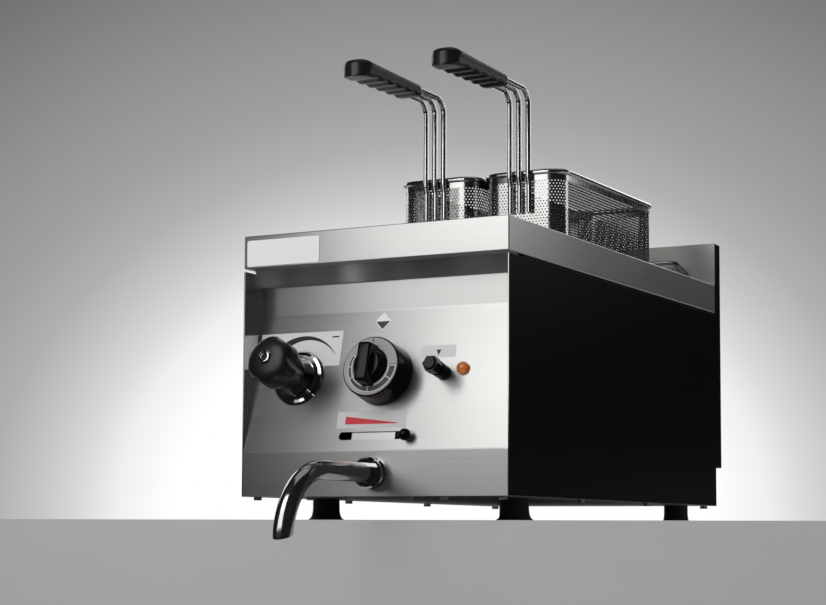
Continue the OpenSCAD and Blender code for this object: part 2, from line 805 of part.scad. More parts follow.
// Stepped union nut that holds the spout against the apron
module spout_collar() {
    flange = 3;
    ring = collar_seat - 2;
    barrel = collar_seat + 1;
    neck_r = collar_d / 2 - 1.5;
    lip_d = spout_d + 2 * fit;
    seat_d = spout_d + 6 + 2 * fit;
    color("lightgray") along_drain(front_y) rotate_extrude()
        polygon([[seat_d / 2, 0], [collar_d / 2, 0], [collar_d / 2, flange], [neck_r, flange + 1],
            [neck_r, ring - 1], [collar_d / 2, ring], [collar_d / 2, barrel], [neck_r, barrel + 2],
            [lip_d / 2, barrel + 2], [lip_d / 2, collar_seat], [seat_d / 2, collar_seat]]);
}

// Tube forward from the collar and down in one bend, with its tip cut on a slant
module spout_tube() {
    start_y = front_y - nipple_out;
    color("lightgray") difference() {
        union() {
            spout_solid(start_y, spout_turn, spout_d);
            along_drain(start_y) cylinder(h = collar_seat - nipple_out, d = spout_d + 5);
        }
        spout_solid(start_y + eps, spout_turn + eps, drain_bore);
        translate([drain_x, front_y - spout_run, drain_z - spout_r]) rotate([spout_turn - 90, 0, 0])
            translate([0, -spout_r - spout_d / 2, 0]) rotate([spout_cut, 0, 0])
                translate([-spout_d, -spout_d / 2, -2 * spout_d])
                    cube([2 * spout_d, 3 * spout_d, 2 * spout_d]);
    }
}

module spout_solid(start_y, turn, d) {
    bend_y = front_y - spout_run;
    along_drain(start_y) cylinder(h = start_y - bend_y, d = d);
    translate([drain_x, bend_y, drain_z - spout_r]) rotate([90, 0, 90]) rotate([0, 0, 90])
        rotate_extrude(angle = turn) translate([spout_r, 0]) circle(d = d);
}

// Dished flange against the panel
module tap_rose() {
    color("lightgray") on_panel(tap_x, control_z) rotate_extrude()
        polygon([[tap_barrel_d / 2 + fit, 0], [tap_rose_d / 2, 0], [tap_rose_d / 2, 1.5],
            [tap_rose_d / 2 - 2, 3.5], [tap_rose_d / 2 - 5, 4], [tap_rose_d / 2 - 8, 7],
            [tap_barrel_d / 2 + fit, rose_h]]);
}

// Barrel through the panel, with a tapered shroud round the spindle
module tap_bonnet() {
    shroud_l = tap_stand - rose_h - gap;
    color("lightgray") on_panel(tap_x, control_z) difference() {
        union() {
            translate([0, 0, -panel_t - barrel_in])
                cylinder(h = panel_t + barrel_in + rose_h, d = tap_barrel_d);
            translate([0, 0, rose_h]) cylinder(h = shroud_l, d1 = tap_rose_d - 18, d2 = tap_neck_d - 2);
        }
        translate([0, 0, -panel_t - barrel_in - eps]) cylinder(h = tap_reach, d = spindle_d + 2 * run);
    }
}

module tap_spindle() {
    color("goldenrod") on_panel(tap_x, control_z) translate([0, 0, -panel_t - 12])
        cylinder(h = panel_t + 12 + tap_reach - 12, d = spindle_d);
}

// Lobed hand knob, wide behind its domed front and drawn in towards the panel
module tap_knob() {
    dome_h = 0.16 * tap_knob_l;
    dome_r = (pow(tap_knob_d / 2, 2) + pow(dome_h, 2)) / (2 * dome_h);
    taper_l = 0.56 * tap_knob_l;
    flute_r = tap_knob_d / 6;
    flute_back = tap_neck_d / 2 - 1.5;
    flute_rise = tap_knob_d / 2 - tap_flute - flute_back;
    lean = atan(flute_rise / (tap_knob_l - dome_h));
    color("#202022") on_panel(tap_x, control_z) translate([0, 0, tap_stand]) difference() {
        intersection() {
            union() {
                cylinder(h = taper_l, d1 = tap_neck_d, d2 = tap_knob_d);
                translate([0, 0, taper_l]) cylinder(h = tap_knob_l - taper_l + eps, d = tap_knob_d);
            }
            translate([0, 0, tap_knob_l - dome_r]) sphere(dome_r);
        }
        for (k = [0 : tap_lobes - 1]) rotate([0, 0, k * 360 / tap_lobes])
            translate([flute_back + flute_r, 0, 0]) rotate([0, lean, 0])
                translate([0, 0, -flute_r]) cylinder(h = tap_knob_l + 2 * flute_r, r = flute_r);
        translate([0, 0, -eps]) cylinder(h = tap_knob_l - 12 + eps + gap, d = spindle_d + 2 * fit);
        translate([0, 0, tap_knob_l - 4]) cylinder(h = 4 + eps, d = 13 + 2 * fit);
    }
}

// Domed cap screw with a socket in the knob's front
module tap_cap_screw() {
    color("lightgray") on_panel(tap_x, control_z) translate([0, 0, tap_reach - 4]) difference() {
        union() {
            cylinder(h = 4.5, d = 13);
            translate([0, 0, 4.5]) cylinder(h = 1.5, d1 = 13, d2 = 8);
        }
        translate([0, 0, 3]) cylinder(h = 5, d = 4.5, $fn = 6);
    }
}

// Valve body behind the panel, with ports for the inlet and fill pipes
module tap_valve() {
    color("goldenrod") on_panel(tap_x, control_z) difference() {
        translate([0, 0, -panel_t - tap_body_l]) union() {
            cylinder(h = tap_body_l, d = tap_body_d);
            translate([0, 0, tap_body_l / 2]) rotate([90, 0, 0])
                cylinder(h = tap_body_d / 2 + 8, d = pipe_d + 6);
        }
        translate([0, 0, -panel_t - barrel_in - 2 * eps])
            cylinder(h = barrel_in + 3 * eps, d = tap_barrel_d + 2 * fit);
        translate([0, 0, -panel_t - tap_body_l - eps]) cylinder(h = tap_body_l, d = pipe_bore);
        translate([0, 0, -panel_t - tap_body_l / 2]) rotate([90, 0, 0])
            cylinder(h = tap_body_d, d = pipe_bore);
    }
}

// Pipe from the tap's valve up and through the tank's front wall
module fill_pipe() {
    bay_y = tank_front - bay_d / 4;
    start = panel_point(tap_x, control_z, -panel_t - tap_body_l);
    knee = panel_point(tap_x, control_z, -panel_t - 1.35 * tap_body_l);
    color("peru") bent_rod([start, knee, [fill_x, bay_y, knee.z], [fill_x, bay_y, fill_z],
        [fill_x, tank_front + basket_end / 2, fill_z]], [1.2 * pipe_d, 1.2 * pipe_d, 1.2 * pipe_d], pipe_d);
}

// Pipe along the base from the water inlet to the tap's valve
module inlet_pipe() {
    port = panel_point(tap_x, control_z, -panel_t - tap_body_l / 2);
    down = [0, -sin(slope), -cos(slope)];
    start = port + (tap_body_d / 2 + 8) * down;
    knee = start + 14 * down;
    color("peru") bent_rod([start, knee, [tap_x, knee.y, service_z], [tap_x, back_y - 22, service_z]],
        [18, 18], pipe_d);
}

// Threaded stub through the back panel, with a flange outside and a nut inside
module water_inlet() {
    stub_l = cover_d + 20;
    out_l = cover_d - 2;
    flange = 6;
    color("goldenrod") translate([tap_x, back_y + out_l, service_z]) rotate([90, 0, 0]) difference() {
        union() {
            cylinder(h = stub_l, d = inlet_d);
            translate([0, 0, out_l - flange]) cylinder(h = flange, d = inlet_d + 8, $fn = 6);
            translate([0, 0, out_l + sheet]) cylinder(h = flange, d = inlet_d + 8, $fn = 6);
        }
        translate([0, 0, -eps]) cylinder(h = stub_l - 4, d = inlet_d - 6);
        cylinder(h = stub_l + eps, d = pipe_bore);
    }
}

// Skirted knob with a bar grip on a round hub
module thermo_knob() {
    bar_w = 13;
    bar_l = 37;
    hub = 36;
    back = 1;
    color("#202022") on_panel(thermo_x, control_z) difference() {
        union() {
            translate([0, 0, back]) cylinder(h = thermo_skirt, d1 = thermo_d, d2 = thermo_d - 2);
            translate([0, 0, back + thermo_skirt]) cylinder(h = thermo_bar / 2, d1 = hub, d2 = hub - 8);
            translate([0, 0, back + thermo_skirt]) intersection() {
                translate([-bar_w / 2, -bar_l / 2, 0]) cube([bar_w, bar_l, thermo_bar]);
                cylinder(h = thermo_bar, d1 = bar_l + 6, d2 = bar_l);
            }
        }
        translate([0, 0, back - eps]) cylinder(h = thermo_skirt - 6 + eps, d = thermo_shaft_d + 2 * fit);
    }
}

// Ring with the scale, on the knob's face
module thermo_dial() {
    color("gainsboro") on_panel(thermo_x, control_z) translate([0, 0, 1 + thermo_skirt]) difference() {
        cylinder(h = 0.6, d = thermo_d - 5);
        translate([0, 0, -eps]) cylinder(h = 1 + 2 * eps, d = 0.6 * thermo_d);
    }
}

module thermo_shaft() {
    color("silver") on_panel(thermo_x, control_z) translate([0, 0, -panel_t - shaft_in])
        cylinder(h = panel_t + shaft_in + thermo_skirt - 5.5, d = thermo_shaft_d);
}

// Switch box behind the panel with a bush through it
module thermo_body() {
    color("dimgray") on_panel(thermo_x, control_z) difference() {
        union() {
            translate([-thermo_box.x / 2, -thermo_box.y / 2, -panel_t - thermo_box.z]) cube(thermo_box);
            translate([0, 0, -panel_t]) cylinder(h = panel_t + 0.7, d = bush_d - fit);
        }
        translate([0, 0, -panel_t - shaft_in - eps])
            cylinder(h = panel_t + shaft_in + 3 * eps, d = thermo_shaft_d + 2 * run);
    }
}

// Capillary probes from the two thermostats into the tank
module thermo_probe() {
    bulb_y = tank_front - 2 * probe_d;
    bulb_l = tank_l / 3;
    runs = [[thermo_x, probe_at[0], thermo_box.z], [reset_x, probe_at[1], reset_box.z]];
    color("darkgoldenrod") for (p = runs) {
        start = panel_point(p[0], control_z, -panel_t - p[2] - gap);
        rod(start, [p[1], bulb_y + probe_d / 2, probe_z], 0.4 * probe_d);
        rod([p[1], bulb_y, probe_z], [p[1], bulb_y + bulb_l, probe_z], probe_d);
    }
}

// Plunger with a six-sided cap
module reset_button() {
    cap_l = 13;
    color("#202022") on_panel(reset_x, control_z) union() {
        translate([0, 0, -panel_t - 6]) cylinder(h = panel_t + 6 + reset_l - cap_l / 2, d = bush_d - 4);
        translate([0, 0, reset_l - cap_l]) cylinder(h = cap_l - 2, d = reset_d, $fn = 6);
        translate([0, 0, reset_l - 3]) cylinder(h = 3, d1 = reset_d - 2, d2 = reset_d - 6);
    }
}

// Bush through the panel that guides the button
module reset_collar() {
    collar_l = reset_l - 13 - reset_travel - 1;
    color("#202022") on_panel(reset_x, control_z) difference() {
        union() {
            translate([0, 0, -panel_t]) cylinder(h = panel_t + eps, d = bush_d - fit);
            cylinder(h = collar_l, d = reset_d - 1.5);
        }
        translate([0, 0, -panel_t - eps])
            cylinder(h = panel_t + collar_l + 2 * eps, d = bush_d - 4 + 2 * run);
    }
}

module reset_body() {
    color("dimgray") on_panel(reset_x, control_z) difference() {
        translate([-reset_box.x / 2, -reset_box.y / 2, -panel_t - reset_box.z]) cube(reset_box);
        translate([0, 0, -panel_t - 6 - reset_travel - 1]) cylinder(h = 20, d = bush_d - 4 + 2 * run);
    }
}

// Domed amber lens on a short collar
module lamp_lens() {
    dome_r = lamp_d / 2 + 0.5;
    color("orange") on_panel(lamp_x, control_z + lamp_up) union() {
        cylinder(h = 2, d = lamp_d);
        intersection() {
            translate([0, 0, 2 - 2.5]) sphere(dome_r);
            translate([0, 0, 2]) cylinder(h = lamp_d, d = lamp_d - 1);
        }
    }
}

module lamp_body() {
    color("dimgray") on_panel(lamp_x, control_z + lamp_up) translate([0, 0, -panel_t - 26]) {
        cylinder(h = 26 + panel_t, d = lamp_barrel_d);
        translate([0, 0, 18]) cylinder(h = 8, d = lamp_barrel_d + 6, $fn = 6);
    }
}

// Flared feet, each with a pocket for its screw
module rubber_feet() {
    flare_r = (foot_d - foot_top_d) / 2;
    flare_h = min(2.6 * flare_r, foot_h - 4);
    color("#1a1a1a") at_feet() difference() {
        rotate_extrude() polygon(concat([[0, 0], [foot_d / 2, 0]],
            [for (a = [0 : 15 : 90]) [foot_d / 2 - flare_r * sin(a), 1.5 + flare_h * (1 - cos(a))]],
            [[foot_top_d / 2, foot_h], [0, foot_h]]));
        translate([0, 0, -eps]) cylinder(h = 10 + eps, d = 12);
        cylinder(h = foot_h + eps, d = screw_d + 2 * fit);
    }
}

module foot_screws() {
    color("silver") at_feet() {
        translate([0, 0, 6]) cylinder(h = 4, d = 9);
        translate([0, 0, 10]) cylinder(h = base_top - 10 + 7, d = screw_d);
        translate([0, 0, base_top]) cylinder(h = 4, d = 9.2, $fn = 6);
    }
}

// Screws under the edges of the base plate
module base_screws() {
    color("silver") at_base_screws() {
        translate([0, 0, foot_h - 0.7 * screw_d]) cylinder(h = 0.7 * screw_d, d = 1.84 * screw_d, $fn = 6);
        translate([0, 0, foot_h]) cylinder(h = sheet + 1.2 * screw_d, d = screw_d);
    }
}

// Connection block on the base plate, behind the gland
module terminal_block() {
    ways = 4;
    way_w = 11;
    block_l = 26;
    block_h = 20;
    color("beige") translate([gland_x - ways * way_w / 2, back_y - 3 * block_l, base_top]) difference() {
        cube([ways * way_w, block_l, block_h]);
        for (k = [0 : ways - 1])
            translate([(k + 0.5) * way_w, block_l / 2, block_h / 2]) cylinder(h = block_h, d = way_w / 2);
    }
}

// Cable entry through the back panel
module cable_gland() {
    color("#202022") translate([gland_x, back_y + cover_d - 4, service_z]) rotate([90, 0, 0]) difference() {
        union() {
            cylinder(h = cover_d + 10, d = gland_d);
            translate([0, 0, 2]) cylinder(h = cover_d - 6, d = gland_d + 6, $fn = 6);
            translate([0, 0, cover_d - 4 + sheet]) cylinder(h = 6, d = gland_d + 6, $fn = 6);
        }
        translate([0, 0, -eps]) cylinder(h = cover_d + 10 + 2 * eps, d = 10);
    }
}

top_deck();
tank();
side_panel_left();
side_panel_right();
front_panel();
back_panel();
base_plate();
frame_rails();
rear_cover();
splash_plate();
basket_rail();
false_bottom();
basket_wall_left();
basket_wall_right();
basket_floor_left();
basket_floor_right();
basket_rim_left();
basket_rim_right();
handle_rods_left();
handle_rods_right();
handle_grip_left();
handle_grip_right();
heating_element();
element_bushes();
drain_pipe();
drain_valve();
drain_ball();
drain_stem();
drain_lever();
drain_lever_knob();
slot_shutter();
spout_collar();
spout_tube();
tap_rose();
tap_bonnet();
tap_spindle();
tap_knob();
tap_cap_screw();
tap_valve();
fill_pipe();
inlet_pipe();
water_inlet();
thermo_knob();
thermo_dial();
thermo_shaft();
thermo_body();
thermo_probe();
reset_button();
reset_collar();
reset_body();
lamp_lens();
lamp_body();
rubber_feet();
foot_screws();
base_screws();
terminal_block();
cable_gland();
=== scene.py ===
import json
import math

import bmesh
import bpy
from mathutils import Matrix, Vector


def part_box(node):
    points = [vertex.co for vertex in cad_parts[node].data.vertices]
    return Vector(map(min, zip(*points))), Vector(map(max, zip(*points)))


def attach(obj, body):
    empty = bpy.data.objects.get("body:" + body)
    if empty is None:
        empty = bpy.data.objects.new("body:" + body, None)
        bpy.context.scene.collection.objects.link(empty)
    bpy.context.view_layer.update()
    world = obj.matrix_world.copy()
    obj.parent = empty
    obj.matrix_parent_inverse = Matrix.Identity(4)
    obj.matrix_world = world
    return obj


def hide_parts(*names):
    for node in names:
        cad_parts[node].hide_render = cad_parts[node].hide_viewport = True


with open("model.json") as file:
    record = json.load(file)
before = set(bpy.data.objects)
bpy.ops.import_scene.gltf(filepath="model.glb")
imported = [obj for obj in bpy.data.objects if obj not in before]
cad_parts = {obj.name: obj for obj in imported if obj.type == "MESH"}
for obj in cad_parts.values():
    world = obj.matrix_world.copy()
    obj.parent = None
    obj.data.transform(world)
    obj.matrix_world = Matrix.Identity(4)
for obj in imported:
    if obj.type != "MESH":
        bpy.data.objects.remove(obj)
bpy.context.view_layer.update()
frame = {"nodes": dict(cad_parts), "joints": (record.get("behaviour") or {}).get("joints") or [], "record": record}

MM = 0.001
X_AXIS = Vector((1, 0, 0))
SIDES = {"left": -1, "right": 1}
joints = {j["name"]: j for j in frame["joints"]}


# Helpers for nodes

def srgb(code):
    """Linear RGBA of an sRGB hex colour."""
    parts = [int(code[i:i + 2], 16) / 255 for i in (1, 3, 5)]
    return [c / 12.92 if c <= 0.04045 else ((c + 0.055) / 1.055) ** 2.4 for c in parts] + [1]


def node(tree, kind, inputs=None, **settings):
    """A new node with its settings; an input is a value or another node's output socket."""
    made = tree.nodes.new(kind)
    for key, value in settings.items():
        setattr(made, key, value)
    for key, value in (inputs or {}).items():
        if isinstance(value, bpy.types.NodeSocket):
            tree.links.new(value, made.inputs[key])
        else:
            made.inputs[key].default_value = value
    return made


def finish(name, **values):
    """A new material with its tree and its Principled shader."""
    material = bpy.data.materials.new(name)
    material.use_nodes = True
    tree = material.node_tree
    shader = tree.nodes["Principled BSDF"]
    for key, value in values.items():
        shader.inputs[key.replace("_", " ")].default_value = value
    return material, tree, shader


def ramp(tree, factor, stops):
    """A colour ramp through (position, hex colour) stops."""
    made = node(tree, "ShaderNodeValToRGB", {"Fac": factor})
    while len(made.color_ramp.elements) < len(stops):
        made.color_ramp.elements.new(0.5)
    for element, (position, code) in zip(made.color_ramp.elements, stops):
        element.position = position
        element.color = srgb(code)
    return made.outputs["Color"]


def spread(tree, value, span, to):
    """A value carried from one span of numbers to another."""
    made = node(tree, "ShaderNodeMapRange", {
        "Value": value, "From Min": span[0], "From Max": span[1], "To Min": to[0], "To Max": to[1]})
    return made.outputs[0]


def noise(tree, place, scale, detail):
    """A smooth random value at each place."""
    made = node(tree, "ShaderNodeTexNoise", {"Vector": place, "Scale": scale, "Detail": detail})
    return made.outputs["Fac"]


# Helpers for meshes and pieces

def add_object(name, data):
    """A new object in the scene."""
    made = bpy.data.objects.new(name, data)
    bpy.context.scene.collection.objects.link(made)
    return made


def smooth(mesh, degrees):
    """Smooth shading, with edges over an angle left sharp."""
    mesh.polygons.foreach_set("use_smooth", [True] * len(mesh.polygons))
    mesh.set_sharp_from_angle(angle=math.radians(degrees))


def piece(name, mesh, material, body, replaces=(), slot=None, degrees=35):
    """A finished piece of the object that rides on a body."""
    smooth(mesh, degrees)
    mesh.materials.clear()
    mesh.materials.append(material)
    made = add_object(name, mesh)
    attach(made, body)
    if replaces:
        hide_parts(*replaces)
    return made


def to_mesh(bm, name, place):
    """A mesh from a bmesh given in millimetres, put in its place in metres."""
    bmesh.ops.recalc_face_normals(bm, faces=bm.faces)
    mesh = bpy.data.meshes.new(name)
    bm.to_mesh(mesh)
    bm.free()
    mesh.transform(place @ Matrix.Scale(MM, 4))
    return mesh


def formed(name, bm, place, material, body, **more):
    """A piece from a bmesh given in millimetres, put in its place."""
    return piece(name, to_mesh(bm, name, place), material, body, **more)


def bridge(bm, rows):
    """Quads between neighbouring rings of vertices."""
    for a, b in zip(rows, rows[1:]):
        for i in range(len(a)):
            j = (i + 1) % len(a)
            bm.faces.new((a[i], a[j], b[j], b[i]))


def loft(bm, rings):
    """A solid through rings of points, closed at both ends."""
    rows = [[bm.verts.new(p) for p in ring] for ring in rings]
    bridge(bm, rows)
    bm.faces.new(rows[0])
    bm.faces.new(rows[-1])


def stack(bm, outline, levels):
    """A solid from one outline at (height, share of full size) levels."""
    loft(bm, [[(x * share, y * share, z) for x, y in outline] for z, share in levels])


def slab(bm, outline, low, high):
    """A flat plate from an outline, between two heights."""
    stack(bm, outline, ((low, 1), (high, 1)))


def lathe(bm, profile, steps):
    """A turned solid about z from (radius, height) points."""
    turns = [i * 2 * math.pi / steps for i in range(steps)]
    loft(bm, [[(r * math.cos(a), r * math.sin(a), z) for a in turns] for r, z in profile])


def hoop(bm, section):
    """A closed ring from outlines at heights, stacked round its section."""
    rows = [[bm.verts.new((x, y, z)) for x, y in outline] for outline, z in section]
    bridge(bm, rows + rows[:1])


def fillet(cx, cz, r, start, end, steps=5):
    """Points of an arc in a profile, angles in degrees."""
    angles = [math.radians(start + (end - start) * i / steps) for i in range(steps + 1)]
    return [(cx + r * math.cos(a), cz + r * math.sin(a)) for a in angles]


def rounded(w, h, r, steps=5):
    """Outline of a rounded rectangle about the origin."""
    points = []
    for k, (sx, sy) in enumerate(((1, 1), (-1, 1), (-1, -1), (1, -1))):
        points += fillet(sx * (w / 2 - r), sy * (h / 2 - r), r, 90 * k, 90 * k + 90, steps)
    return points


# Finishes. Grain sizes are in millimetres, rough gives the lowest and highest roughness

MIDTONES = (0.3, 0.7)   # span of a noise value that most of a surface lies in
RELIEF = 0.0002         # depth of a grain's relief in metres, before its strength


def brushed_stainless():
    """Stainless sheet, belt-brushed: fine lines along the sheet, which smear reflections across them."""
    material, tree, shader = finish("brushed_stainless", Metallic=1.0, Anisotropic=0.7)
    place = node(tree, "ShaderNodeTexCoord").outputs
    facing = node(tree, "ShaderNodeSeparateXYZ", {0: place["Normal"]})
    side = node(tree, "ShaderNodeMath", {0: facing.outputs["X"]}, operation="ABSOLUTE")
    side = node(tree, "ShaderNodeMath", {0: side.outputs[0], 1: 0.7}, operation="GREATER_THAN").outputs[0]

    # Real lines are about 0.1 mm apart; they are drawn 0.7 mm apart and 200 mm long so that they show
    along, across = 5, 1400
    front_lines, side_lines = (node(tree, "ShaderNodeMapping", {"Vector": place["Object"], "Scale": scale})
                               for scale in ((along, across, across), (across, along, across)))
    lines = node(tree, "ShaderNodeMix", {
        "Factor": side, 4: front_lines.outputs[0], 5: side_lines.outputs[0]}, data_type="VECTOR")
    streak = noise(tree, lines.outputs[1], scale=1.0, detail=3.0)
    cloud = noise(tree, place["Object"], scale=9.0, detail=2.0)
    tree.links.new(ramp(tree, streak, [(0.2, "#c2c2c0"), (0.8, "#d2d2d0")]), shader.inputs["Base Color"])

    gloss = spread(tree, streak, (0.25, 0.75), (0.28, 0.34))
    gloss = node(tree, "ShaderNodeMath", {0: cloud, 1: 0.06, 2: gloss}, operation="MULTIPLY_ADD")
    tree.links.new(gloss.outputs[0], shader.inputs["Roughness"])
    bump = node(tree, "ShaderNodeBump", {"Height": streak, "Strength": 0.03, "Distance": 0.0003})
    tree.links.new(bump.outputs[0], shader.inputs["Normal"])

    brushed = node(tree, "ShaderNodeMix", {"Factor": side, 4: (1, 0, 0), 5: (0, 1, 0)}, data_type="VECTOR")
    smear = node(tree, "ShaderNodeVectorMath", {0: place["Normal"], 1: brushed.outputs[1]},
                 operation="CROSS_PRODUCT")
    tree.links.new(smear.outputs[0], shader.inputs["Tangent"])
    return material


def speckled(name, dark, pale, grain, rough, bump, **values):
    """A finish with an even fine grain: colour, gloss and relief follow one noise of a real grain size."""
    material, tree, shader = finish(name, **values)
    place = node(tree, "ShaderNodeTexCoord").outputs["Object"]
    speck = noise(tree, place, scale=1 / (grain * MM), detail=3.0)
    tree.links.new(ramp(tree, speck, list(zip(MIDTONES, (dark, pale)))), shader.inputs["Base Color"])
    tree.links.new(spread(tree, speck, MIDTONES, rough), shader.inputs["Roughness"])
    relief = node(tree, "ShaderNodeBump", {"Height": speck, "Strength": bump, "Distance": RELIEF})
    tree.links.new(relief.outputs[0], shader.inputs["Normal"])
    return material


def foil(name, dark, pale, grain=0.8, rough=(0.38, 0.46), bump=0.02):
    """Printed or coated foil: an even colour under a thin clear film with a slight gloss."""
    return speckled(name, dark, pale, grain, rough, bump, IOR=1.48)


def ink(name, dark, pale):
    """Screen-printed ink: a flat, even colour, duller than the foil under it."""
    return foil(name, dark, pale, grain=0.4, rough=(0.4, 0.5))


def amber_polycarbonate():
    """Moulded amber lens: deep orange, with a soft unevenness inside and a clear gloss on top."""
    material, tree, shader = finish("amber_polycarbonate", IOR=1.58, Coat_Weight=0.5)
    place = node(tree, "ShaderNodeTexCoord").outputs["Object"]
    cloud = noise(tree, place, scale=1 / (5 * MM), detail=1.0)
    orange = ramp(tree, cloud, list(zip(MIDTONES, ("#b4601e", "#cc7c3c"))))
    tree.links.new(orange, shader.inputs["Base Color"])
    tree.links.new(spread(tree, cloud, (0, 1), (0.2, 0.34)), shader.inputs["Roughness"])
    return material


finishes = {
    "stainless": brushed_stainless(),
    # Inner side of the painted sheet: bright-annealed at the mill, nearly a mirror
    "bright_sheet": speckled("bright_annealed_stainless", "#b6b6b4", "#c2c2c0",
                             grain=8.0, rough=(0.1, 0.16), bump=0.004, Metallic=1.0),
    # Mill-finished steel inside the casing: dull, with a faint mottle
    "plain_steel": speckled("mill_steel", "#8f9090", "#b3b3b1",
                            grain=1.5, rough=(0.38, 0.5), bump=0.05, Metallic=1.0),
    # Pressed tank steel: smooth, a little cloudy from heat and water
    "tank_steel": speckled("pressed_stainless", "#a9a8a4", "#c9c8c5",
                           grain=6.0, rough=(0.22, 0.36), bump=0.03, Metallic=1.0),
    # Satin black stoved paint: very dark, with a fine orange peel of about 1 mm
    "black_paint": speckled("satin_black_paint", "#040404", "#060606",
                            grain=1.1, rough=(0.32, 0.4), bump=0.02, IOR=1.13),
    # Electropolished wire: bright, with faint drawing marks
    "polished_wire": speckled("electropolished_wire", "#c6c6c4", "#d4d4d2",
                              grain=4.0, rough=(0.1, 0.16), bump=0.004, Metallic=1.0),
    # Perforated sheet, electropolished after punching: bright between the holes, with soft reflections
    "perforated_steel": speckled("perforated_stainless", "#a8a8a6", "#babab8",
                                 grain=5.0, rough=(0.15, 0.21), bump=0.004, Metallic=1.0),
    # Moulded black nylon: a spark-eroded grain, drawn at 0.5 mm so that it shows
    "black_plastic": speckled("moulded_black_nylon", "#0b0b0c", "#161617",
                              grain=0.5, rough=(0.26, 0.4), bump=0.06, IOR=1.5),
    # Pressed phenolic resin: jet black with a clear gloss
    "gloss_resin": speckled("pressed_black_resin", "#060606", "#0b0b0b",
                            grain=0.6, rough=(0.14, 0.22), bump=0.02, IOR=1.3),
    # Moulded switch bodies: dull, warm grey
    "switch_plastic": speckled("moulded_switch_resin", "#8a857a", "#a39d90",
                               grain=0.6, rough=(0.45, 0.6), bump=0.06, IOR=1.5),
    # Bright chrome plating: near mirror with a slight waviness from polishing
    "chrome": speckled("chrome_plating", "#dcdcdc", "#e8e8e8",
                       grain=6.0, rough=(0.04, 0.08), bump=0.006, Metallic=1.0),
    # Mop-polished stainless tube: bright, with softer reflections than plating
    "polished_tube": speckled("polished_stainless_tube", "#bcbcba", "#c8c8c6",
                              grain=6.0, rough=(0.11, 0.17), bump=0.004, Metallic=1.0),
    # Turned brass of the valves: warm yellow with a fine satin grain
    "brass": speckled("turned_brass", "#a5823e", "#c9a558",
                      grain=0.8, rough=(0.24, 0.36), bump=0.05, Metallic=1.0),
    # Drawn copper tube: reddish, a little tarnished in patches
    "copper": speckled("drawn_copper_tube", "#a5613f", "#c98360",
                       grain=2.5, rough=(0.25, 0.4), bump=0.04, Metallic=1.0),
    # Machined stainless: clean, with an even satin
    "machined_steel": speckled("machined_stainless", "#c4c4c2", "#cacac8",
                               grain=1.2, rough=(0.3, 0.34), bump=0.002, Metallic=1.0),
    # Zinc plating on the screws: grey with a fine mottle
    "zinc_screws": speckled("zinc_plated_screw", "#8f8e8a", "#b9b8b2",
                            grain=0.7, rough=(0.3, 0.45), bump=0.06, Metallic=1.0),
    # Element sheath: darkened by heat
    "element_sheath": speckled("heat_darkened_sheath", "#2e2c2b", "#55504c",
                               grain=4.0, rough=(0.4, 0.55), bump=0.05, Metallic=1.0),
    "amber_lens": amber_polycarbonate(),
    # Black rubber: dull, finely pitted
    "rubber": speckled("black_rubber", "#0d0d0d", "#191919",
                       grain=0.7, rough=(0.6, 0.75), bump=0.1, IOR=1.5),
    # Satin grey foil ring under the printed scale
    "dial_print": foil("satin_grey_foil", "#868685", "#949493", grain=0.5, rough=(0.35, 0.45), bump=0.03),
    # Label foil: pale grey, and a darker grey over the drain's slot
    "label": foil("pale_label_foil", "#cacac9", "#d4d4d3"),
    "grey_label": foil("grey_label_foil", "#b8b8b8", "#c2c2c2"),
    # Vinyl plate on the rim: off-white and a little glossier than the labels
    "plate": foil("white_vinyl_plate", "#cfcfcd", "#d8d8d6", rough=(0.32, 0.42)),
    # Inks of the signs and the scale
    "black_ink": ink("black_screen_ink", "#161616", "#222222"),
    "grey_ink": ink("dark_grey_screen_ink", "#2f2f2f", "#3d3d3d"),
    "pale_grey_ink": ink("pale_grey_screen_ink", "#b4b4b2", "#c0c0be"),
    "red_ink": ink("red_screen_ink", "#b81a2a", "#c8283a"),
    "white_ink": ink("white_screen_ink", "#dcdcda", "#ececea"),
}

for part in frame["record"]["subparts"]:
    solid = frame["nodes"][part["node"]]
    solid.data.materials.clear()
    solid.data.materials.append(finishes[part["material_slot"]])

# Pieces with a finer finish than the rest of their slot
for name, finer in (("reset_button", "gloss_resin"), ("reset_collar", "gloss_resin"),
                    ("drain_lever_knob", "gloss_resin"), ("spout_tube", "polished_tube")):
    frame["nodes"][name].data.materials[0] = finishes[finer]


# The control panel's frame: its plane passes through the knobs' axes

panel_point = Vector(joints["thermostat_turn"]["pos_m"])
panel_out = -Vector(joints["thermostat_turn"]["axis"]).normalized()
panel_up = panel_out.cross(X_AXIS)


def on_panel(x, z):
    """Frame on the sloped panel at a place in millimetres: x right, y up the slope, z outwards."""
    at = panel_point + panel_up * ((z * MM - panel_point.z) / panel_up.z)
    at.x = x * MM
    columns = Matrix((X_AXIS, panel_up, panel_out)).transposed().to_4x4()
    return Matrix.Translation(at) @ columns


def at_joint(name):
    """Frame on the panel at a joint's axis."""
    place = joints[name]["pos_m"]
    return on_panel(place[0] / MM, place[2] / MM)


# Casing: the sheet's folded edges are rounded, so that they catch the light

X, Y, Z = 0, 1, 2
ON_PLANE, SAME_POINT = 1e-5, 1e-6       # metres
FOLD_R, PAINTED_EDGE_R = 1.2, 0.4       # millimetres


def hidden_copy(name):
    """A merged bmesh of a CAD node, in metres, with its flat faces whole."""
    bm = bmesh.new()
    bm.from_mesh(frame["nodes"][name].data)
    bmesh.ops.remove_doubles(bm, verts=bm.verts, dist=SAME_POINT)
    bmesh.ops.dissolve_limit(bm, angle_limit=math.radians(0.5), verts=bm.verts, edges=bm.edges)
    return bm


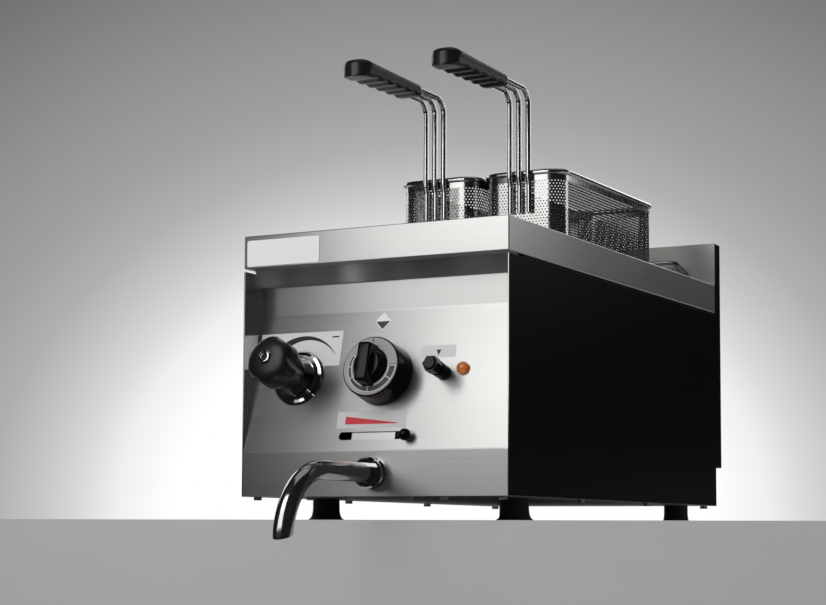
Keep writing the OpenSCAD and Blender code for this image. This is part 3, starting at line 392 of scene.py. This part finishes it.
def softened(name, finish_name, pick, radius, segments=3, painted=None):
    """A CAD node's shape with the picked edges rounded, as folded sheet has them.

    Where only one face is painted, the faces turned away from it are bright sheet."""
    bm = hidden_copy(name)
    edges = [e for e in bm.edges if len(e.link_faces) == 2 and pick(e)]
    bmesh.ops.bevel(bm, geom=edges, offset=radius * MM, segments=segments, affect="EDGES", profile=0.5)
    mesh = bpy.data.meshes.new(name + "_sheet")
    bm.to_mesh(mesh)
    bm.free()
    made = piece(name + "_sheet", mesh, finishes[finish_name], "base", [name], finish_name, degrees=40)
    if painted:
        mesh.materials.append(finishes["bright_sheet"])
        for face in mesh.polygons:
            face.material_index = int(face.normal.dot(painted) < 0.5)
    # Normals weighted by area keep the wide faces flat up to their rounded edges
    made.modifiers.new("even", "WEIGHTED_NORMAL").keep_sharp = True
    even = bpy.data.meshes.new_from_object(made.evaluated_get(bpy.context.evaluated_depsgraph_get()))
    made.modifiers.clear()
    made.data = even


def on_planes(name, lows, highs):
    """A test for edges that lie on two of a node's outer planes, named by axis at its low and high ends."""
    low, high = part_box(name)
    planes = [(axis, low[axis]) for axis in lows] + [(axis, high[axis]) for axis in highs]

    def test(edge):
        hits = [axis for axis, value in planes
                if all(abs(v.co[axis] - value) < ON_PLANE for v in edge.verts)]
        return len(hits) >= 2
    return test


def is_bend(edge):
    """Folds across the front panel: long edges along x between faces at 8 to 60 degrees."""
    a, b = (v.co for v in edge.verts)
    run = b - a
    along_x = abs(run.x) > 0.1 and abs(run.x) > 0.99 * run.length
    return along_x and 8 < math.degrees(edge.calc_face_angle(0)) < 60


softened("top_deck", "stainless", on_planes("top_deck", (X, Y, Z), (X, Z)), FOLD_R)
softened("front_panel", "stainless", is_bend, FOLD_R)
for side, outward in SIDES.items():
    panel = "side_panel_" + side
    softened(panel, "black_paint", on_planes(panel, (X, Y, Z), (X, Z)), PAINTED_EDGE_R, segments=2,
             painted=outward * X_AXIS)
softened("rear_cover", "black_paint", on_planes("rear_cover", (X, Z), (X, Y, Z)), FOLD_R)


# Baskets: perforated sheet round a rounded rectangle, made with Geometry Nodes; sizes in millimetres

SHEET = 1.0
PITCH, HOLE, HOLE_SIDES = 3.6, 1.8, 7
CORNER, CORNER_STEPS = 20.0, 10
RIM_BAND, FOOT_BAND, FLOOR_BAND = 8.0, 7.0, 8.0     # plain margins round the holes
BAND_OVER_RIM_HOLES, BAND_OVER_FOOT_HOLES = 1, 3    # how far the plain bands run over the outermost cells
HEEL = 1.5                                          # height and corner of the bend at the floor
WELD = 0.1
WIRE_SIDES = 16


def perforation_tree():
    """Hexagonal cells with a hole, in staggered rows, wrapped round the wall or laid on the floor."""
    tree = bpy.data.node_groups.new("perforated_basket", "GeometryNodeTree")
    for name, kind in (("Width", "Float"), ("Length", "Float"), ("Corner", "Float"), ("Low", "Float"),
                       ("High", "Float"), ("Pitch", "Float"), ("Hole", "Float"), ("Is Floor", "Bool"),
                       ("Place", "Vector"), ("Material", "Material")):
        tree.interface.new_socket(name, in_out="INPUT", socket_type="NodeSocket" + kind)
    tree.interface.new_socket("Geometry", in_out="OUTPUT", socket_type="NodeSocketGeometry")
    size = node(tree, "NodeGroupInput").outputs

    def math_of(operation, a, b=0.0):
        return node(tree, "ShaderNodeMath", {0: a, 1: b}, operation=operation).outputs[0]

    def made(kind, inputs, **settings):
        return node(tree, "GeometryNode" + kind, inputs, **settings).outputs[0]

    def along(**parts):
        return node(tree, "ShaderNodeCombineXYZ", parts).outputs[0]

    box = made("CurvePrimitiveQuadrilateral", {"Width": size["Width"], "Height": size["Length"]})
    path = made("FilletCurve", {"Curve": box, "Count": CORNER_STEPS, "Radius": size["Corner"]}, mode="POLY")
    around = made("CurveLength", {0: path})
    columns = math_of("ROUND", math_of("DIVIDE", around, size["Pitch"]))
    pitch = math_of("DIVIDE", around, columns)
    row = math_of("MULTIPLY", pitch, math.sqrt(3) / 2)

    # One cell: a hexagon on its point with a round hole
    ring_r = math_of("DIVIDE", pitch, math.sqrt(3))
    hole_r = math_of("DIVIDE", size["Hole"], 2)
    ring = made("CurvePrimitiveCircle", {"Resolution": 6, "Radius": ring_r})
    ring = made("Transform", {"Geometry": ring, "Rotation": (0, 0, math.radians(30))})
    hole = made("CurvePrimitiveCircle", {"Resolution": HOLE_SIDES, "Radius": hole_r})
    both = node(tree, "GeometryNodeJoinGeometry")
    tree.links.new(ring, both.inputs[0])
    tree.links.new(hole, both.inputs[0])
    cell = made("FillCurve", {0: both.outputs[0]})

    spot = node(tree, "GeometryNodeInputPosition").outputs[0]
    split = node(tree, "ShaderNodeSeparateXYZ", {0: spot}).outputs

    def staggered(columns, rows, drop=None):
        """Cells on a grid of rows, every other row moved by half a pitch, as one mesh."""
        wide = math_of("MULTIPLY", math_of("SUBTRACT", columns, 1), pitch)
        tall = math_of("MULTIPLY", math_of("SUBTRACT", rows, 1), row)
        grid = made("MeshGrid", {"Size X": wide, "Size Y": tall, "Vertices X": columns, "Vertices Y": rows})
        height = math_of("ADD", split["Y"], math_of("DIVIDE", tall, 2))
        level = math_of("ROUND", math_of("DIVIDE", height, row))
        shift = math_of("MULTIPLY", math_of("FLOORED_MODULO", level, 2), math_of("DIVIDE", pitch, 2))
        points = made("SetPosition", {"Geometry": grid, "Offset": along(X=shift)})
        if drop is not None:
            points = made("DeleteGeometry", {"Geometry": points, "Selection": drop})
        cells = made("InstanceOnPoints", {"Points": points, "Instance": cell})
        cells = made("RealizeInstances", {0: cells})
        return made("MergeByDistance", {"Geometry": cells, "Distance": WELD * MM})

    # Wall: the grid's width runs along the path, its height from low to high
    rows = math_of("FLOOR", math_of("DIVIDE", math_of("SUBTRACT", size["High"], size["Low"]), row))
    wall = staggered(columns, rows)
    reach = math_of("FLOORED_MODULO", math_of("ADD", split["X"], around), around)
    bent = node(tree, "GeometryNodeSampleCurve", {"Curves": path, "Length": reach}, mode="LENGTH",
                use_all_curves=True)
    middle = math_of("DIVIDE", math_of("ADD", size["High"], size["Low"]), 2)
    rise = along(Z=math_of("ADD", split["Y"], middle))
    wrapped = node(tree, "ShaderNodeVectorMath", {0: bent.outputs["Position"], 1: rise}).outputs[0]
    wall = made("SetPosition", {"Geometry": wall, "Position": wrapped})

    # Floor: the grid without the cells that reach past a margin inside the rounded rectangle
    margin = math_of("SUBTRACT", size["Corner"], FLOOR_BAND * MM)
    over = []
    for axis, side in (("X", "Width"), ("Y", "Length")):
        straight = math_of("SUBTRACT", math_of("DIVIDE", size[side], 2), size["Corner"])
        over.append(math_of("MAXIMUM", math_of("SUBTRACT", math_of("ABSOLUTE", split[axis]), straight), 0))
    far = math_of("SQRT", math_of("ADD", math_of("POWER", over[0], 2), math_of("POWER", over[1], 2)))
    base = staggered(math_of("FLOOR", math_of("DIVIDE", size["Width"], pitch)),
                     math_of("FLOOR", math_of("DIVIDE", size["Length"], row)),
                     math_of("GREATER_THAN", far, margin))
    base = made("SetPosition", {"Geometry": base, "Offset": along(Z=size["Low"])})

    chosen = made("Switch", {"Switch": size["Is Floor"], "False": wall, "True": base},
                  input_type="GEOMETRY")
    moved = made("SetPosition", {"Geometry": chosen, "Offset": size["Place"]})
    plain = made("RealizeInstances", {0: moved})
    dressed = made("SetMaterial", {"Geometry": plain, "Material": size["Material"]})
    node(tree, "NodeGroupOutput", {0: dressed})
    return tree


def grown(name, tree, values):
    """The plain mesh that a Geometry Nodes tree gives for these input values."""
    maker = add_object(name, bpy.data.meshes.new(name))
    modifier = maker.modifiers.new("make", "NODES")
    modifier.node_group = tree
    for socket in tree.interface.items_tree:
        if socket.in_out == "INPUT":
            modifier[socket.identifier] = values[socket.name]
    graph = bpy.context.evaluated_depsgraph_get()
    mesh = bpy.data.meshes.new_from_object(maker.evaluated_get(graph))
    maker.modifiers.clear()
    bpy.data.objects.remove(maker)
    return mesh


def build_basket(side, perforation):
    """The sheets of a basket's wall and floor, their plain margins and the rim's wire."""
    body, steel = "basket_" + side, finishes["perforated_steel"]
    low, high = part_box("basket_wall_" + side)
    middle = (low + high) / 2
    place = Matrix.Translation((middle.x, middle.y, 0))
    width, length = (high.x - low.x) - SHEET * MM, (high.y - low.y) - SHEET * MM
    wall_top = high.z - RIM_BAND * MM
    wall_foot = low.z + FOOT_BAND * MM
    for name, is_floor, foot in (("basket_wall_", False, wall_foot),
                                 ("basket_floor_", True, low.z + SHEET / 2 * MM)):
        mesh = grown(name + "sheet_" + side, perforation, {
            "Width": width, "Length": length, "Corner": (CORNER - SHEET / 2) * MM,
            "Low": foot, "High": wall_top, "Pitch": PITCH * MM, "Hole": HOLE * MM,
            "Is Floor": is_floor, "Place": (middle.x, middle.y, 0), "Material": steel})
        piece(name + "sheet_" + side, mesh, steel, body, [name + side], "perforated_steel")

    def outline(grow, radius, steps=5):
        """The sheet's middle line made wider by a measure, with its own corner radius."""
        return rounded(width / MM + grow, length / MM + grow, radius, steps)

    # Plain margins: the band under the rim, the band over the floor's bend, and the floor's edge
    outer = outline(SHEET, CORNER)
    inner = outline(-SHEET, CORNER - SHEET)
    heel = outline(-2 * SHEET, CORNER - HEEL)
    lip = outline(-2 * FLOOR_BAND, CORNER - FLOOR_BAND)
    floor, top = low.z / MM, high.z / MM
    rim_band_foot = wall_top / MM - BAND_OVER_RIM_HOLES
    foot_band_top = wall_foot / MM + BAND_OVER_FOOT_HOLES
    bm = bmesh.new()
    hoop(bm, ((outer, rim_band_foot), (outer, top), (inner, top), (inner, rim_band_foot)))
    hoop(bm, ((outer, foot_band_top), (outer, floor + HEEL), (heel, floor), (lip, floor),
              (lip, floor + SHEET), (inner, floor + SHEET + 0.5), (inner, foot_band_top)))
    formed("basket_margins_" + side, bm, place, steel, body, slot="perforated_steel")

    # Rim: one wire bent round the top of the wall
    rim_low, rim_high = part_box("basket_rim_" + side)
    wire = (rim_high.z - rim_low.z) / MM
    section = []
    for k in range(WIRE_SIDES):
        a = 2 * math.pi * k / WIRE_SIDES
        grow = wire * math.cos(a)
        section.append((outline(grow, CORNER - SHEET / 2 + grow / 2, CORNER_STEPS),
                        rim_low.z / MM + wire / 2 * (1 + math.sin(a))))
    bm = bmesh.new()
    hoop(bm, section)
    formed("basket_rim_wire_" + side, bm, place, finishes["polished_wire"], body,
           replaces=["basket_rim_" + side], slot="polished_wire", degrees=60)


perforation = perforation_tree()
for side in SIDES:
    build_basket(side, perforation)


# Handle grips: moulded, crowned on top, with a crisp lower edge, finger grooves below and a round outer end

# Stations along the grip lie closer towards its end
GRIP_STATIONS, GRIP_SIDES, STATION_POWER = 70, 48, 1.15
# At the rods: width taken off each side, share of the thickness, and a small round
NEAR_NARROWER, NEAR_SHARE = 1.5, 0.72
ENTRY_SHARE, ENTRY_LENGTH = 0.94, 1.5
GROOVES, GROOVE_DEPTH, GROOVE_PHASE = 5, 2.2, 0.75
END_LENGTH, END_POWER, END_WIDTH, END_CROWN = 18.0, 2.4, 0.02, 0.3
# Powers of the section's outline: a higher one is squarer; the crown has one across and one upwards
CROWN_POWERS, EDGE_POWER = (3.2, 2.6), 7


def bow(value, power):
    """A circle's coordinate drawn out towards a square."""
    return math.copysign(abs(value) ** (2 / power), value)


def grip_mesh(side):
    """Rings from the rods to the round end, narrower and thinner at the rods."""
    low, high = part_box("handle_grip_" + side)
    span = (high.y - low.y) / MM
    half_w = (high.x - low.x) / MM / 2
    half_t = (high.z - low.z) / MM / 2
    near_w, near_t = half_w - NEAR_NARROWER, NEAR_SHARE * half_t
    pitch = (span - half_w) / (GROOVES + 0.5)
    rings = []
    for i in range(GRIP_STATIONS + 1):
        s = span * (1 - (1 - i / GRIP_STATIONS) ** STATION_POWER)
        entry = ENTRY_SHARE + (1 - ENTRY_SHARE) * min(1.0, s / ENTRY_LENGTH)
        close = max(0.0, (s - (span - END_LENGTH)) / END_LENGTH)
        end = math.sqrt(max(0.0, 1 - close ** END_POWER))
        w = (near_w + (half_w - near_w) * (s / span) ** 3) * entry * max(end, END_WIDTH)
        tall = near_t + (half_t - near_t) * s / span
        crown = tall * (END_CROWN + (1 - END_CROWN) * end)
        scoop = GROOVE_DEPTH * (0.5 + 0.5 * math.cos(2 * math.pi * (s / pitch - GROOVE_PHASE)))
        # The first groove fades in, and none lies under the round end
        scoop *= min(1.0, s / (0.4 * pitch)) if s < (GROOVES + 0.2) * pitch else 0.0
        ring = []
        for k in range(GRIP_SIDES):
            a = 2 * math.pi * k / GRIP_SIDES
            c, d = math.cos(a), math.sin(a)
            if d >= 0:
                ring.append((w * bow(c, CROWN_POWERS[0]), -s, crown * bow(d, CROWN_POWERS[1])))
            else:
                ring.append((w * bow(c, EDGE_POWER), -s, (tall - scoop) * bow(d, EDGE_POWER)))
        rings.append(ring)
    bm = bmesh.new()
    loft(bm, rings)
    place = Vector(((low.x + high.x) / 2, high.y, (low.z + high.z) / 2))
    return to_mesh(bm, "grip_" + side, Matrix.Translation(place))


for side in SIDES:
    piece("grip_" + side, grip_mesh(side), finishes["black_plastic"], "basket_" + side,
          ["handle_grip_" + side], "black_plastic", degrees=50)


# Fill tap: lobed hand knob with a domed cap; heights are millimetres out from the panel

KNOB_BACK, KNOB_FULL, KNOB_EDGE, KNOB_FRONT = 16.0, 45.0, 56.0, 68.0
NECK_R, KNOB_R, NECK_CHAMFER = 16.5, 25.5, 1.2
LOBES, LOBE_POWER, KNOB_SIDES = 6, 2.2, 120
HOLLOW_R, HOLLOW_LEAN = NECK_R - 1.5, 0.15      # the hollows' floor at the back, and its rise outwards
DOME_ANGLES, DOME_POWER = (8, 16, 24, 32, 40, 48, 56, 64, 71, 77, 82), 0.7
CAP_R, CAP_ROUND, CAP_FOOT, CAP_TOP = 7.4, 3.2, 66.2, 70
SOCKET_R, SOCKET_FLOOR = 2.8, 67.6


def tap_knob_mesh():
    """Domed front, full width behind it, then a taper to the neck, with six hollows that lean with it."""
    taper_foot, taper_steps, band_steps = KNOB_BACK + NECK_CHAMFER, 12, 4
    profile = [(NECK_R - NECK_CHAMFER, KNOB_BACK), (NECK_R - 0.3, KNOB_BACK + 0.4), (NECK_R, taper_foot)]
    for i in range(1, taper_steps + 1):
        share = i / taper_steps
        profile.append((NECK_R + (KNOB_R - NECK_R) * share, taper_foot + (KNOB_FULL - taper_foot) * share))
    for i in range(1, band_steps + 1):
        profile.append((KNOB_R, KNOB_FULL + (KNOB_EDGE - KNOB_FULL) * i / band_steps))
    for a in (math.radians(v) for v in DOME_ANGLES):
        profile.append((KNOB_R * math.cos(a) ** DOME_POWER,
                        KNOB_EDGE + (KNOB_FRONT - KNOB_EDGE) * math.sin(a)))
    rings = []
    for r, z in profile:
        scoop = max(0.0, r - (HOLLOW_R + HOLLOW_LEAN * (z - KNOB_BACK)))
        ring = []
        for k in range(KNOB_SIDES):
            a = 2 * math.pi * k / KNOB_SIDES
            reach = r - scoop * (0.5 + 0.5 * math.cos(LOBES * a)) ** LOBE_POWER
            ring.append((reach * math.cos(a), reach * math.sin(a), z))
        rings.append(ring)
    bm = bmesh.new()
    loft(bm, rings)
    return to_mesh(bm, "tap_hand_knob", at_joint("tap_turn"))


piece("tap_hand_knob", tap_knob_mesh(), finishes["black_plastic"], "tap_knob", ["tap_knob"],
      "black_plastic", degrees=50)
bm = bmesh.new()
lathe(bm, [(CAP_R, CAP_FOOT)] + fillet(CAP_R - CAP_ROUND, CAP_FOOT + 0.8, CAP_ROUND, 0, 80, 8) +
      [(SOCKET_R + 0.2, CAP_TOP), (SOCKET_R, SOCKET_FLOOR), (0.4, SOCKET_FLOOR - 0.4)], steps=48)
formed("tap_cap", bm, at_joint("tap_turn"), finishes["chrome"], "tap_knob",
       replaces=["tap_cap_screw"], slot="chrome", degrees=40)


# Thermostat knob: turned skirt, hub and bar grip, with a printed scale; heights as for the tap

FACE = 28.0
SKIRT_TAPER, SKIRT_ROUND = 1.0, 1.2
HUB_R, HUB_TOP_R, HUB_TALL, HUB_ROUND = 18.0, 16.0, 9.5, 2.5
BAR_W, BAR_L, BAR_ROUND, BAR_TOP = 13.0, 40.0, 2.5, 46.5

thermo = at_joint("thermostat_turn")
skirt_low, skirt_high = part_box("thermo_knob")
skirt_r = (skirt_high.x - skirt_low.x) / MM / 2
face_r = skirt_r - SKIRT_TAPER

bm = bmesh.new()
lathe(bm, [(face_r, 1.0), (skirt_r, 2.0)] +
      fillet(face_r - SKIRT_ROUND, FACE - SKIRT_ROUND, SKIRT_ROUND, 0, 90) +
      [(face_r - 2, FACE), (HUB_R + 0.6, FACE), (HUB_R, FACE + 0.6), (HUB_TOP_R, FACE + 6)] +
      fillet(HUB_TOP_R - 3.5, FACE + HUB_TALL - HUB_ROUND, HUB_ROUND, 20, 90) +
      [(4, FACE + HUB_TALL)], steps=96)
formed("thermo_skirt", bm, thermo, finishes["gloss_resin"], "thermo_knob",
       replaces=["thermo_knob"], slot="black_plastic", degrees=40)

bm = bmesh.new()
stack(bm, rounded(BAR_W, BAR_L, BAR_ROUND), (
    (FACE, 1.06), (BAR_TOP - 3, 1.0), (BAR_TOP - 1, 0.97), (BAR_TOP - 0.2, 0.9), (BAR_TOP, 0.82)))
formed("thermo_bar", bm, thermo, finishes["gloss_resin"], "thermo_knob", slot="black_plastic", degrees=40)

# The scale's steps run clockwise from 90 degrees and get narrower; clock angles are in degrees from the top
RING_TOP = FACE + 0.6
SCALE = (90, 120, 180, 240, 270, 300)
SCALE_FOOT, SCALE_EDGE, SCALE_NARROWS = 21.6, 27.9, 4.6
LINE, HALF_GAP, OVERPRINT = 0.8, 1.2, 0.08
# Marks between two clock angles and two radii
MARKS = ((-1.2, 1.2, 24.6, 28.6), (-0.5, 0.5, 20.5, 24.6), (86.4, 88, 20, 28.6))


def scale_edge(clock):
    """Outer radius of the scale at a clock angle."""
    return SCALE_EDGE - SCALE_NARROWS * (clock - SCALE[0]) / (SCALE[-1] - SCALE[0])


def arc_patch(bm, inner, outer, start, end, z, thick=0.12):
    """A thin printed patch between two clock angles, from a radius to an edge given by clock angle."""
    steps = max(2, round((end - start) / 4))
    clock = [start + (end - start) * i / steps for i in range(steps + 1)]
    edge = [(outer(c), c) for c in clock] + [(inner, c) for c in reversed(clock)]
    points = [(r * math.sin(math.radians(c)), r * math.cos(math.radians(c))) for r, c in edge]
    slab(bm, points, z, z + thick)


bm = bmesh.new()
arc_patch(bm, SCALE_FOOT - LINE, lambda c: scale_edge(c) + LINE, SCALE[0] - HALF_GAP, SCALE[-1] + HALF_GAP,
          RING_TOP)
formed("thermo_scale_lines", bm, thermo, finishes["pale_grey_ink"], "thermo_knob", slot="dial_print")
bm = bmesh.new()
for start, end in zip(SCALE, SCALE[1:]):
    arc_patch(bm, SCALE_FOOT, scale_edge, start + HALF_GAP, end - HALF_GAP, RING_TOP + OVERPRINT)
for start, end, inner_r, outer_r in MARKS:
    arc_patch(bm, inner_r, lambda c: outer_r, start, end, RING_TOP)
formed("thermo_scale", bm, thermo, finishes["grey_ink"], "thermo_knob", slot="dial_print")


# Labels on the panel: bare plates with plain signs; places across and heights are in millimetres

FOIL, FOIL_CORNER = 0.15, 0.8   # thickness and corner radius of a label
PRINT, ON_FOIL = 0.1, 0.14      # thickness of the ink, and where it starts on a label


def label(name, across, heights, finish_name="label"):
    """A thin foil on the sloped panel between two places across and two heights."""
    wide, tall = across[1] - across[0], (heights[1] - heights[0]) / panel_up.z
    bm = bmesh.new()
    slab(bm, rounded(wide, tall, FOIL_CORNER, 3), 0, FOIL)
    place = on_panel(sum(across) / 2, sum(heights) / 2)
    formed(name, bm, place, finishes[finish_name], "base", slot="dial_print")


def sign(name, place, outline, ink_name, lift=ON_FOIL):
    """A printed shape on the panel, from its outline in millimetres about a place across and a height."""
    bm = bmesh.new()
    slab(bm, outline, lift, lift + PRINT)
    formed(name, bm, on_panel(*place), finishes[ink_name], "base", slot="dial_print")


# A curved wedge over the tap: thick at the left and thin at the right
WEDGE_R, WEDGE_START, WEDGE_SWEEP, WEDGE_STEPS = 45.5, 142, 110, 24
WEDGE_THICK, WEDGE_TIP, WEDGE_POWER = 9, 0.3, 1.1
wedge = []
for i in range(WEDGE_STEPS + 1):
    share = i / WEDGE_STEPS
    wedge.append((math.radians(WEDGE_START - WEDGE_SWEEP * share),
                  WEDGE_THICK * (1 - share) ** WEDGE_POWER + WEDGE_TIP))
tap_at = (joints["tap_turn"]["pos_m"][0] / MM, panel_point.z / MM)
label("tap_label", (-146, -48.5), (155, 191))
wedge_edge = [(WEDGE_R, a) for a, _ in wedge] + [(WEDGE_R - thick, a) for a, thick in reversed(wedge)]
sign("tap_label_wedge", tap_at, [(r * math.cos(a), r * math.sin(a)) for r, a in wedge_edge], "black_ink")
sign("tap_label_minus", (-57, 185), rounded(8, 1.4, 0.4, 2), "black_ink")

reset_low, reset_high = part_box("reset_button")
reset_x = (reset_low.x + reset_high.x) / 2 / MM
label("reset_label", (reset_x - 27, reset_x + 10.5), (158.8, 171))
sign("reset_label_arrow", (reset_x - 8, 164), [(-2.6, 2.5), (2.6, 2.5), (0, -3.5)], "black_ink")

label("drain_label", (-42, 36), (90, 107), "grey_label")
sign("drain_label_wedge", (-3, 98), [(-29.5, -4), (-29.5, 4.2), (29.5, -3.2), (29.5, -4)], "red_ink")

INDEX = (-4, 198.4)
sign("thermo_index_plate", INDEX, [(0, 9.6), (-9.2, 0), (0, -9.6), (9.2, 0)], "white_ink", 0.0)
sign("thermo_index", INDEX, [(-8, 0), (0, -8.4), (8, 0)], "grey_ink")

# A bare plate at the left end of the rim's front
PLATE_W, PLATE_H, PLATE_CORNER, PLATE_INSET, PLATE_DROP = 86, 27, 2.5, 4, 1.5
bm = bmesh.new()
stack(bm, rounded(PLATE_W, PLATE_H, PLATE_CORNER), ((0, 1), (0.6, 1), (0.8, 0.994)))
deck_low, deck_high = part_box("top_deck")
upright = Matrix.Translation((deck_low.x + (PLATE_W / 2 + PLATE_INSET) * MM, deck_low.y,
                              (deck_low.z + deck_high.z) / 2 - PLATE_DROP * MM))
upright @= Matrix.Rotation(math.radians(90), 4, "X")
formed("rim_plate", bm, upright, finishes["plate"], "base", slot="dial_print")


# Stage: a worktop with its front face towards the camera; sizes in metres

EDGE, BACK, DEEP, WIDE = -0.29, 2.2, 0.6, 6.0


def matt_board():
    """Matt painted board: evenly grey with a faint mottle."""
    material, tree, shader = finish("matt_board", Roughness=0.75)
    place = node(tree, "ShaderNodeTexCoord").outputs["Object"]
    mottle = noise(tree, place, scale=30.0, detail=2.0)
    tree.links.new(ramp(tree, mottle, [(0.0, "#a9a9a9"), (1.0, "#acacac")]), shader.inputs["Base Color"])
    return material


bm = bmesh.new()
bmesh.ops.create_cube(bm, size=1)
worktop_mesh = bpy.data.meshes.new("worktop")
bm.to_mesh(worktop_mesh)
bm.free()
worktop_mesh.transform(Matrix.Translation((0, (EDGE + BACK) / 2, -DEEP / 2)) @
                       Matrix.Diagonal((WIDE, BACK - EDGE, DEEP, 1)))
worktop_mesh.materials.append(matt_board())
worktop = add_object("worktop", worktop_mesh)


# Camera, as fitted to the photograph

PHOTO_W, PHOTO_H = 826, 605
CAMERA_AT = (0.9268, -1.9424, -0.0163)
AZIMUTH, ELEVATION, ROLL = (math.radians(v) for v in (29.952, -4.866, 0.407))
FOCAL_PX, CENTRE_PX = 1924.8, (353.5, 372.5)

back = Vector((math.sin(AZIMUTH) * math.cos(ELEVATION), -math.cos(AZIMUTH) * math.cos(ELEVATION),
               math.sin(ELEVATION)))
level = Vector((math.cos(AZIMUTH), math.sin(AZIMUTH), 0))
rise = back.cross(level)
right = level * math.cos(ROLL) + rise * math.sin(ROLL)
up = rise * math.cos(ROLL) - level * math.sin(ROLL)
lens = bpy.data.cameras.new("camera")
lens.sensor_width = 36
lens.lens = FOCAL_PX * lens.sensor_width / PHOTO_W
lens.shift_x = (PHOTO_W / 2 - CENTRE_PX[0]) / PHOTO_W
lens.shift_y = (CENTRE_PX[1] - PHOTO_H / 2) / PHOTO_W
camera = add_object("camera", lens)
camera.matrix_world = Matrix.Translation(CAMERA_AT) @ Matrix((right, up, back)).transposed().to_4x4()
bpy.context.scene.camera = camera
bpy.context.scene.view_settings.view_transform = "Standard"


# Lights

def soft_box(name, place, aim, size, glow):
    """A rectangular soft light aimed at a point; glow is its brightness, where 1 shows as white."""
    data = bpy.data.lights.new(name, "AREA")
    data.shape = "RECTANGLE"
    data.size, data.size_y = size
    data.energy = glow * math.pi * size[0] * size[1]
    lamp = add_object(name, data)
    lamp.location = place
    lamp.rotation_euler = (Vector(aim) - Vector(place)).to_track_quat("-Z", "Y").to_euler()
    lamp.visible_camera = False


# The front boxes end short of the panel's left in its reflection, so the steel runs from dark to bright
soft_box("front_box_wide", (-0.22, -1.0, 0.62), (-0.22, 0, 0.62), (0.64, 0.96), 0.5)
soft_box("front_box_narrow", (-0.185, -1.02, 0.66), (-0.185, 0, 0.66), (0.57, 0.96), 1.15)
soft_box("front_box_high", (-0.18, -1.04, 0.85), (-0.18, 0, 0.85), (0.56, 0.7), 0.7)
soft_box("rear_right_box", (0.98, 0.9, 0.62), (0.15, -0.1, 0.26), (0.5, 0.34), 1.6)
soft_box("top_box", (0.1, 0.2, 2.2), (0, 0, 0.3), (1.6, 1.6), 0.35)
soft_box("rear_box", (-0.25, 1.5, 0.95), (0, 0.2, 0.2), (1.3, 0.7), 1.6)
soft_box("left_box", (-1.5, 0.5, 0.9), (0, 0.1, 0.2), (0.9, 0.7), 1.4)


# Backdrop: a wide painted pool of spotlight behind the object on a grey wall, seen only by the camera, while the
# steel mirrors a dark room

SPOT_PX, SPOT_TALL, WIDEST = (440, 520), 1.2, 60
SPOT_STOPS = ((8, "#ffffff"), (9.6, "#efefef"), (10.6, "#dadada"), (11.8, "#c6c6c6"), (13.2, "#b0b0b0"),
              (15, "#a0a0a0"), (18, "#8f8f8f"), (22, "#727272"))     # degrees from the spot's middle
WALL_STOPS = ((30, "#7c7c7c"), (60, "#8c8c8c"))
ROOM_STOPS = ((30, "#404040"), (45, "#1b1b1b"), (60, "#131313"))
FILL_STRENGTH = 0.7

world = bpy.data.worlds.new("studio")
bpy.context.scene.world = world
world.use_nodes = True
sky = world.node_tree
sky.nodes.clear()

spot = right * (SPOT_PX[0] - CENTRE_PX[0]) - up * (SPOT_PX[1] - CENTRE_PX[1]) - back * FOCAL_PX
spot.normalize()
spot_up = (up - spot * up.dot(spot)).normalized()
look = node(sky, "ShaderNodeTexCoord").outputs["Generated"]
near, aside, above = (
    node(sky, "ShaderNodeVectorMath", {0: look, 1: axis}, operation="DOT_PRODUCT").outputs["Value"]
    for axis in (spot, spot.cross(spot_up), spot_up * SPOT_TALL))
across = node(sky, "ShaderNodeCombineXYZ", {0: aside, 1: above}).outputs[0]
across = node(sky, "ShaderNodeVectorMath", {0: across}, operation="LENGTH").outputs["Value"]
angle = node(sky, "ShaderNodeMath", {0: across, 1: near}, operation="ARCTAN2").outputs[0]
away = node(sky, "ShaderNodeMath", {0: angle, 1: math.radians(WIDEST)}, operation="DIVIDE").outputs[0]

wall, room = (
    node(sky, "ShaderNodeBackground", {
        "Color": ramp(sky, away, [(degrees / WIDEST, code) for degrees, code in SPOT_STOPS + rest]),
        "Strength": 1.0})
    for rest in (WALL_STOPS, ROOM_STOPS))
fill = node(sky, "ShaderNodeBackground", {"Color": srgb("#ffffff"), "Strength": FILL_STRENGTH})
path = node(sky, "ShaderNodeLightPath").outputs
mirrored = node(sky, "ShaderNodeMath", {0: path["Is Glossy Ray"], 1: path["Is Transmission Ray"]},
                operation="MAXIMUM")
unseen = node(sky, "ShaderNodeMixShader", {0: mirrored.outputs[0], 1: fill.outputs[0], 2: room.outputs[0]})
shown = node(sky, "ShaderNodeMixShader", {
    0: path["Is Camera Ray"], 1: unseen.outputs[0], 2: wall.outputs[0]})
node(sky, "ShaderNodeOutputWorld", {0: shown.outputs[0]})
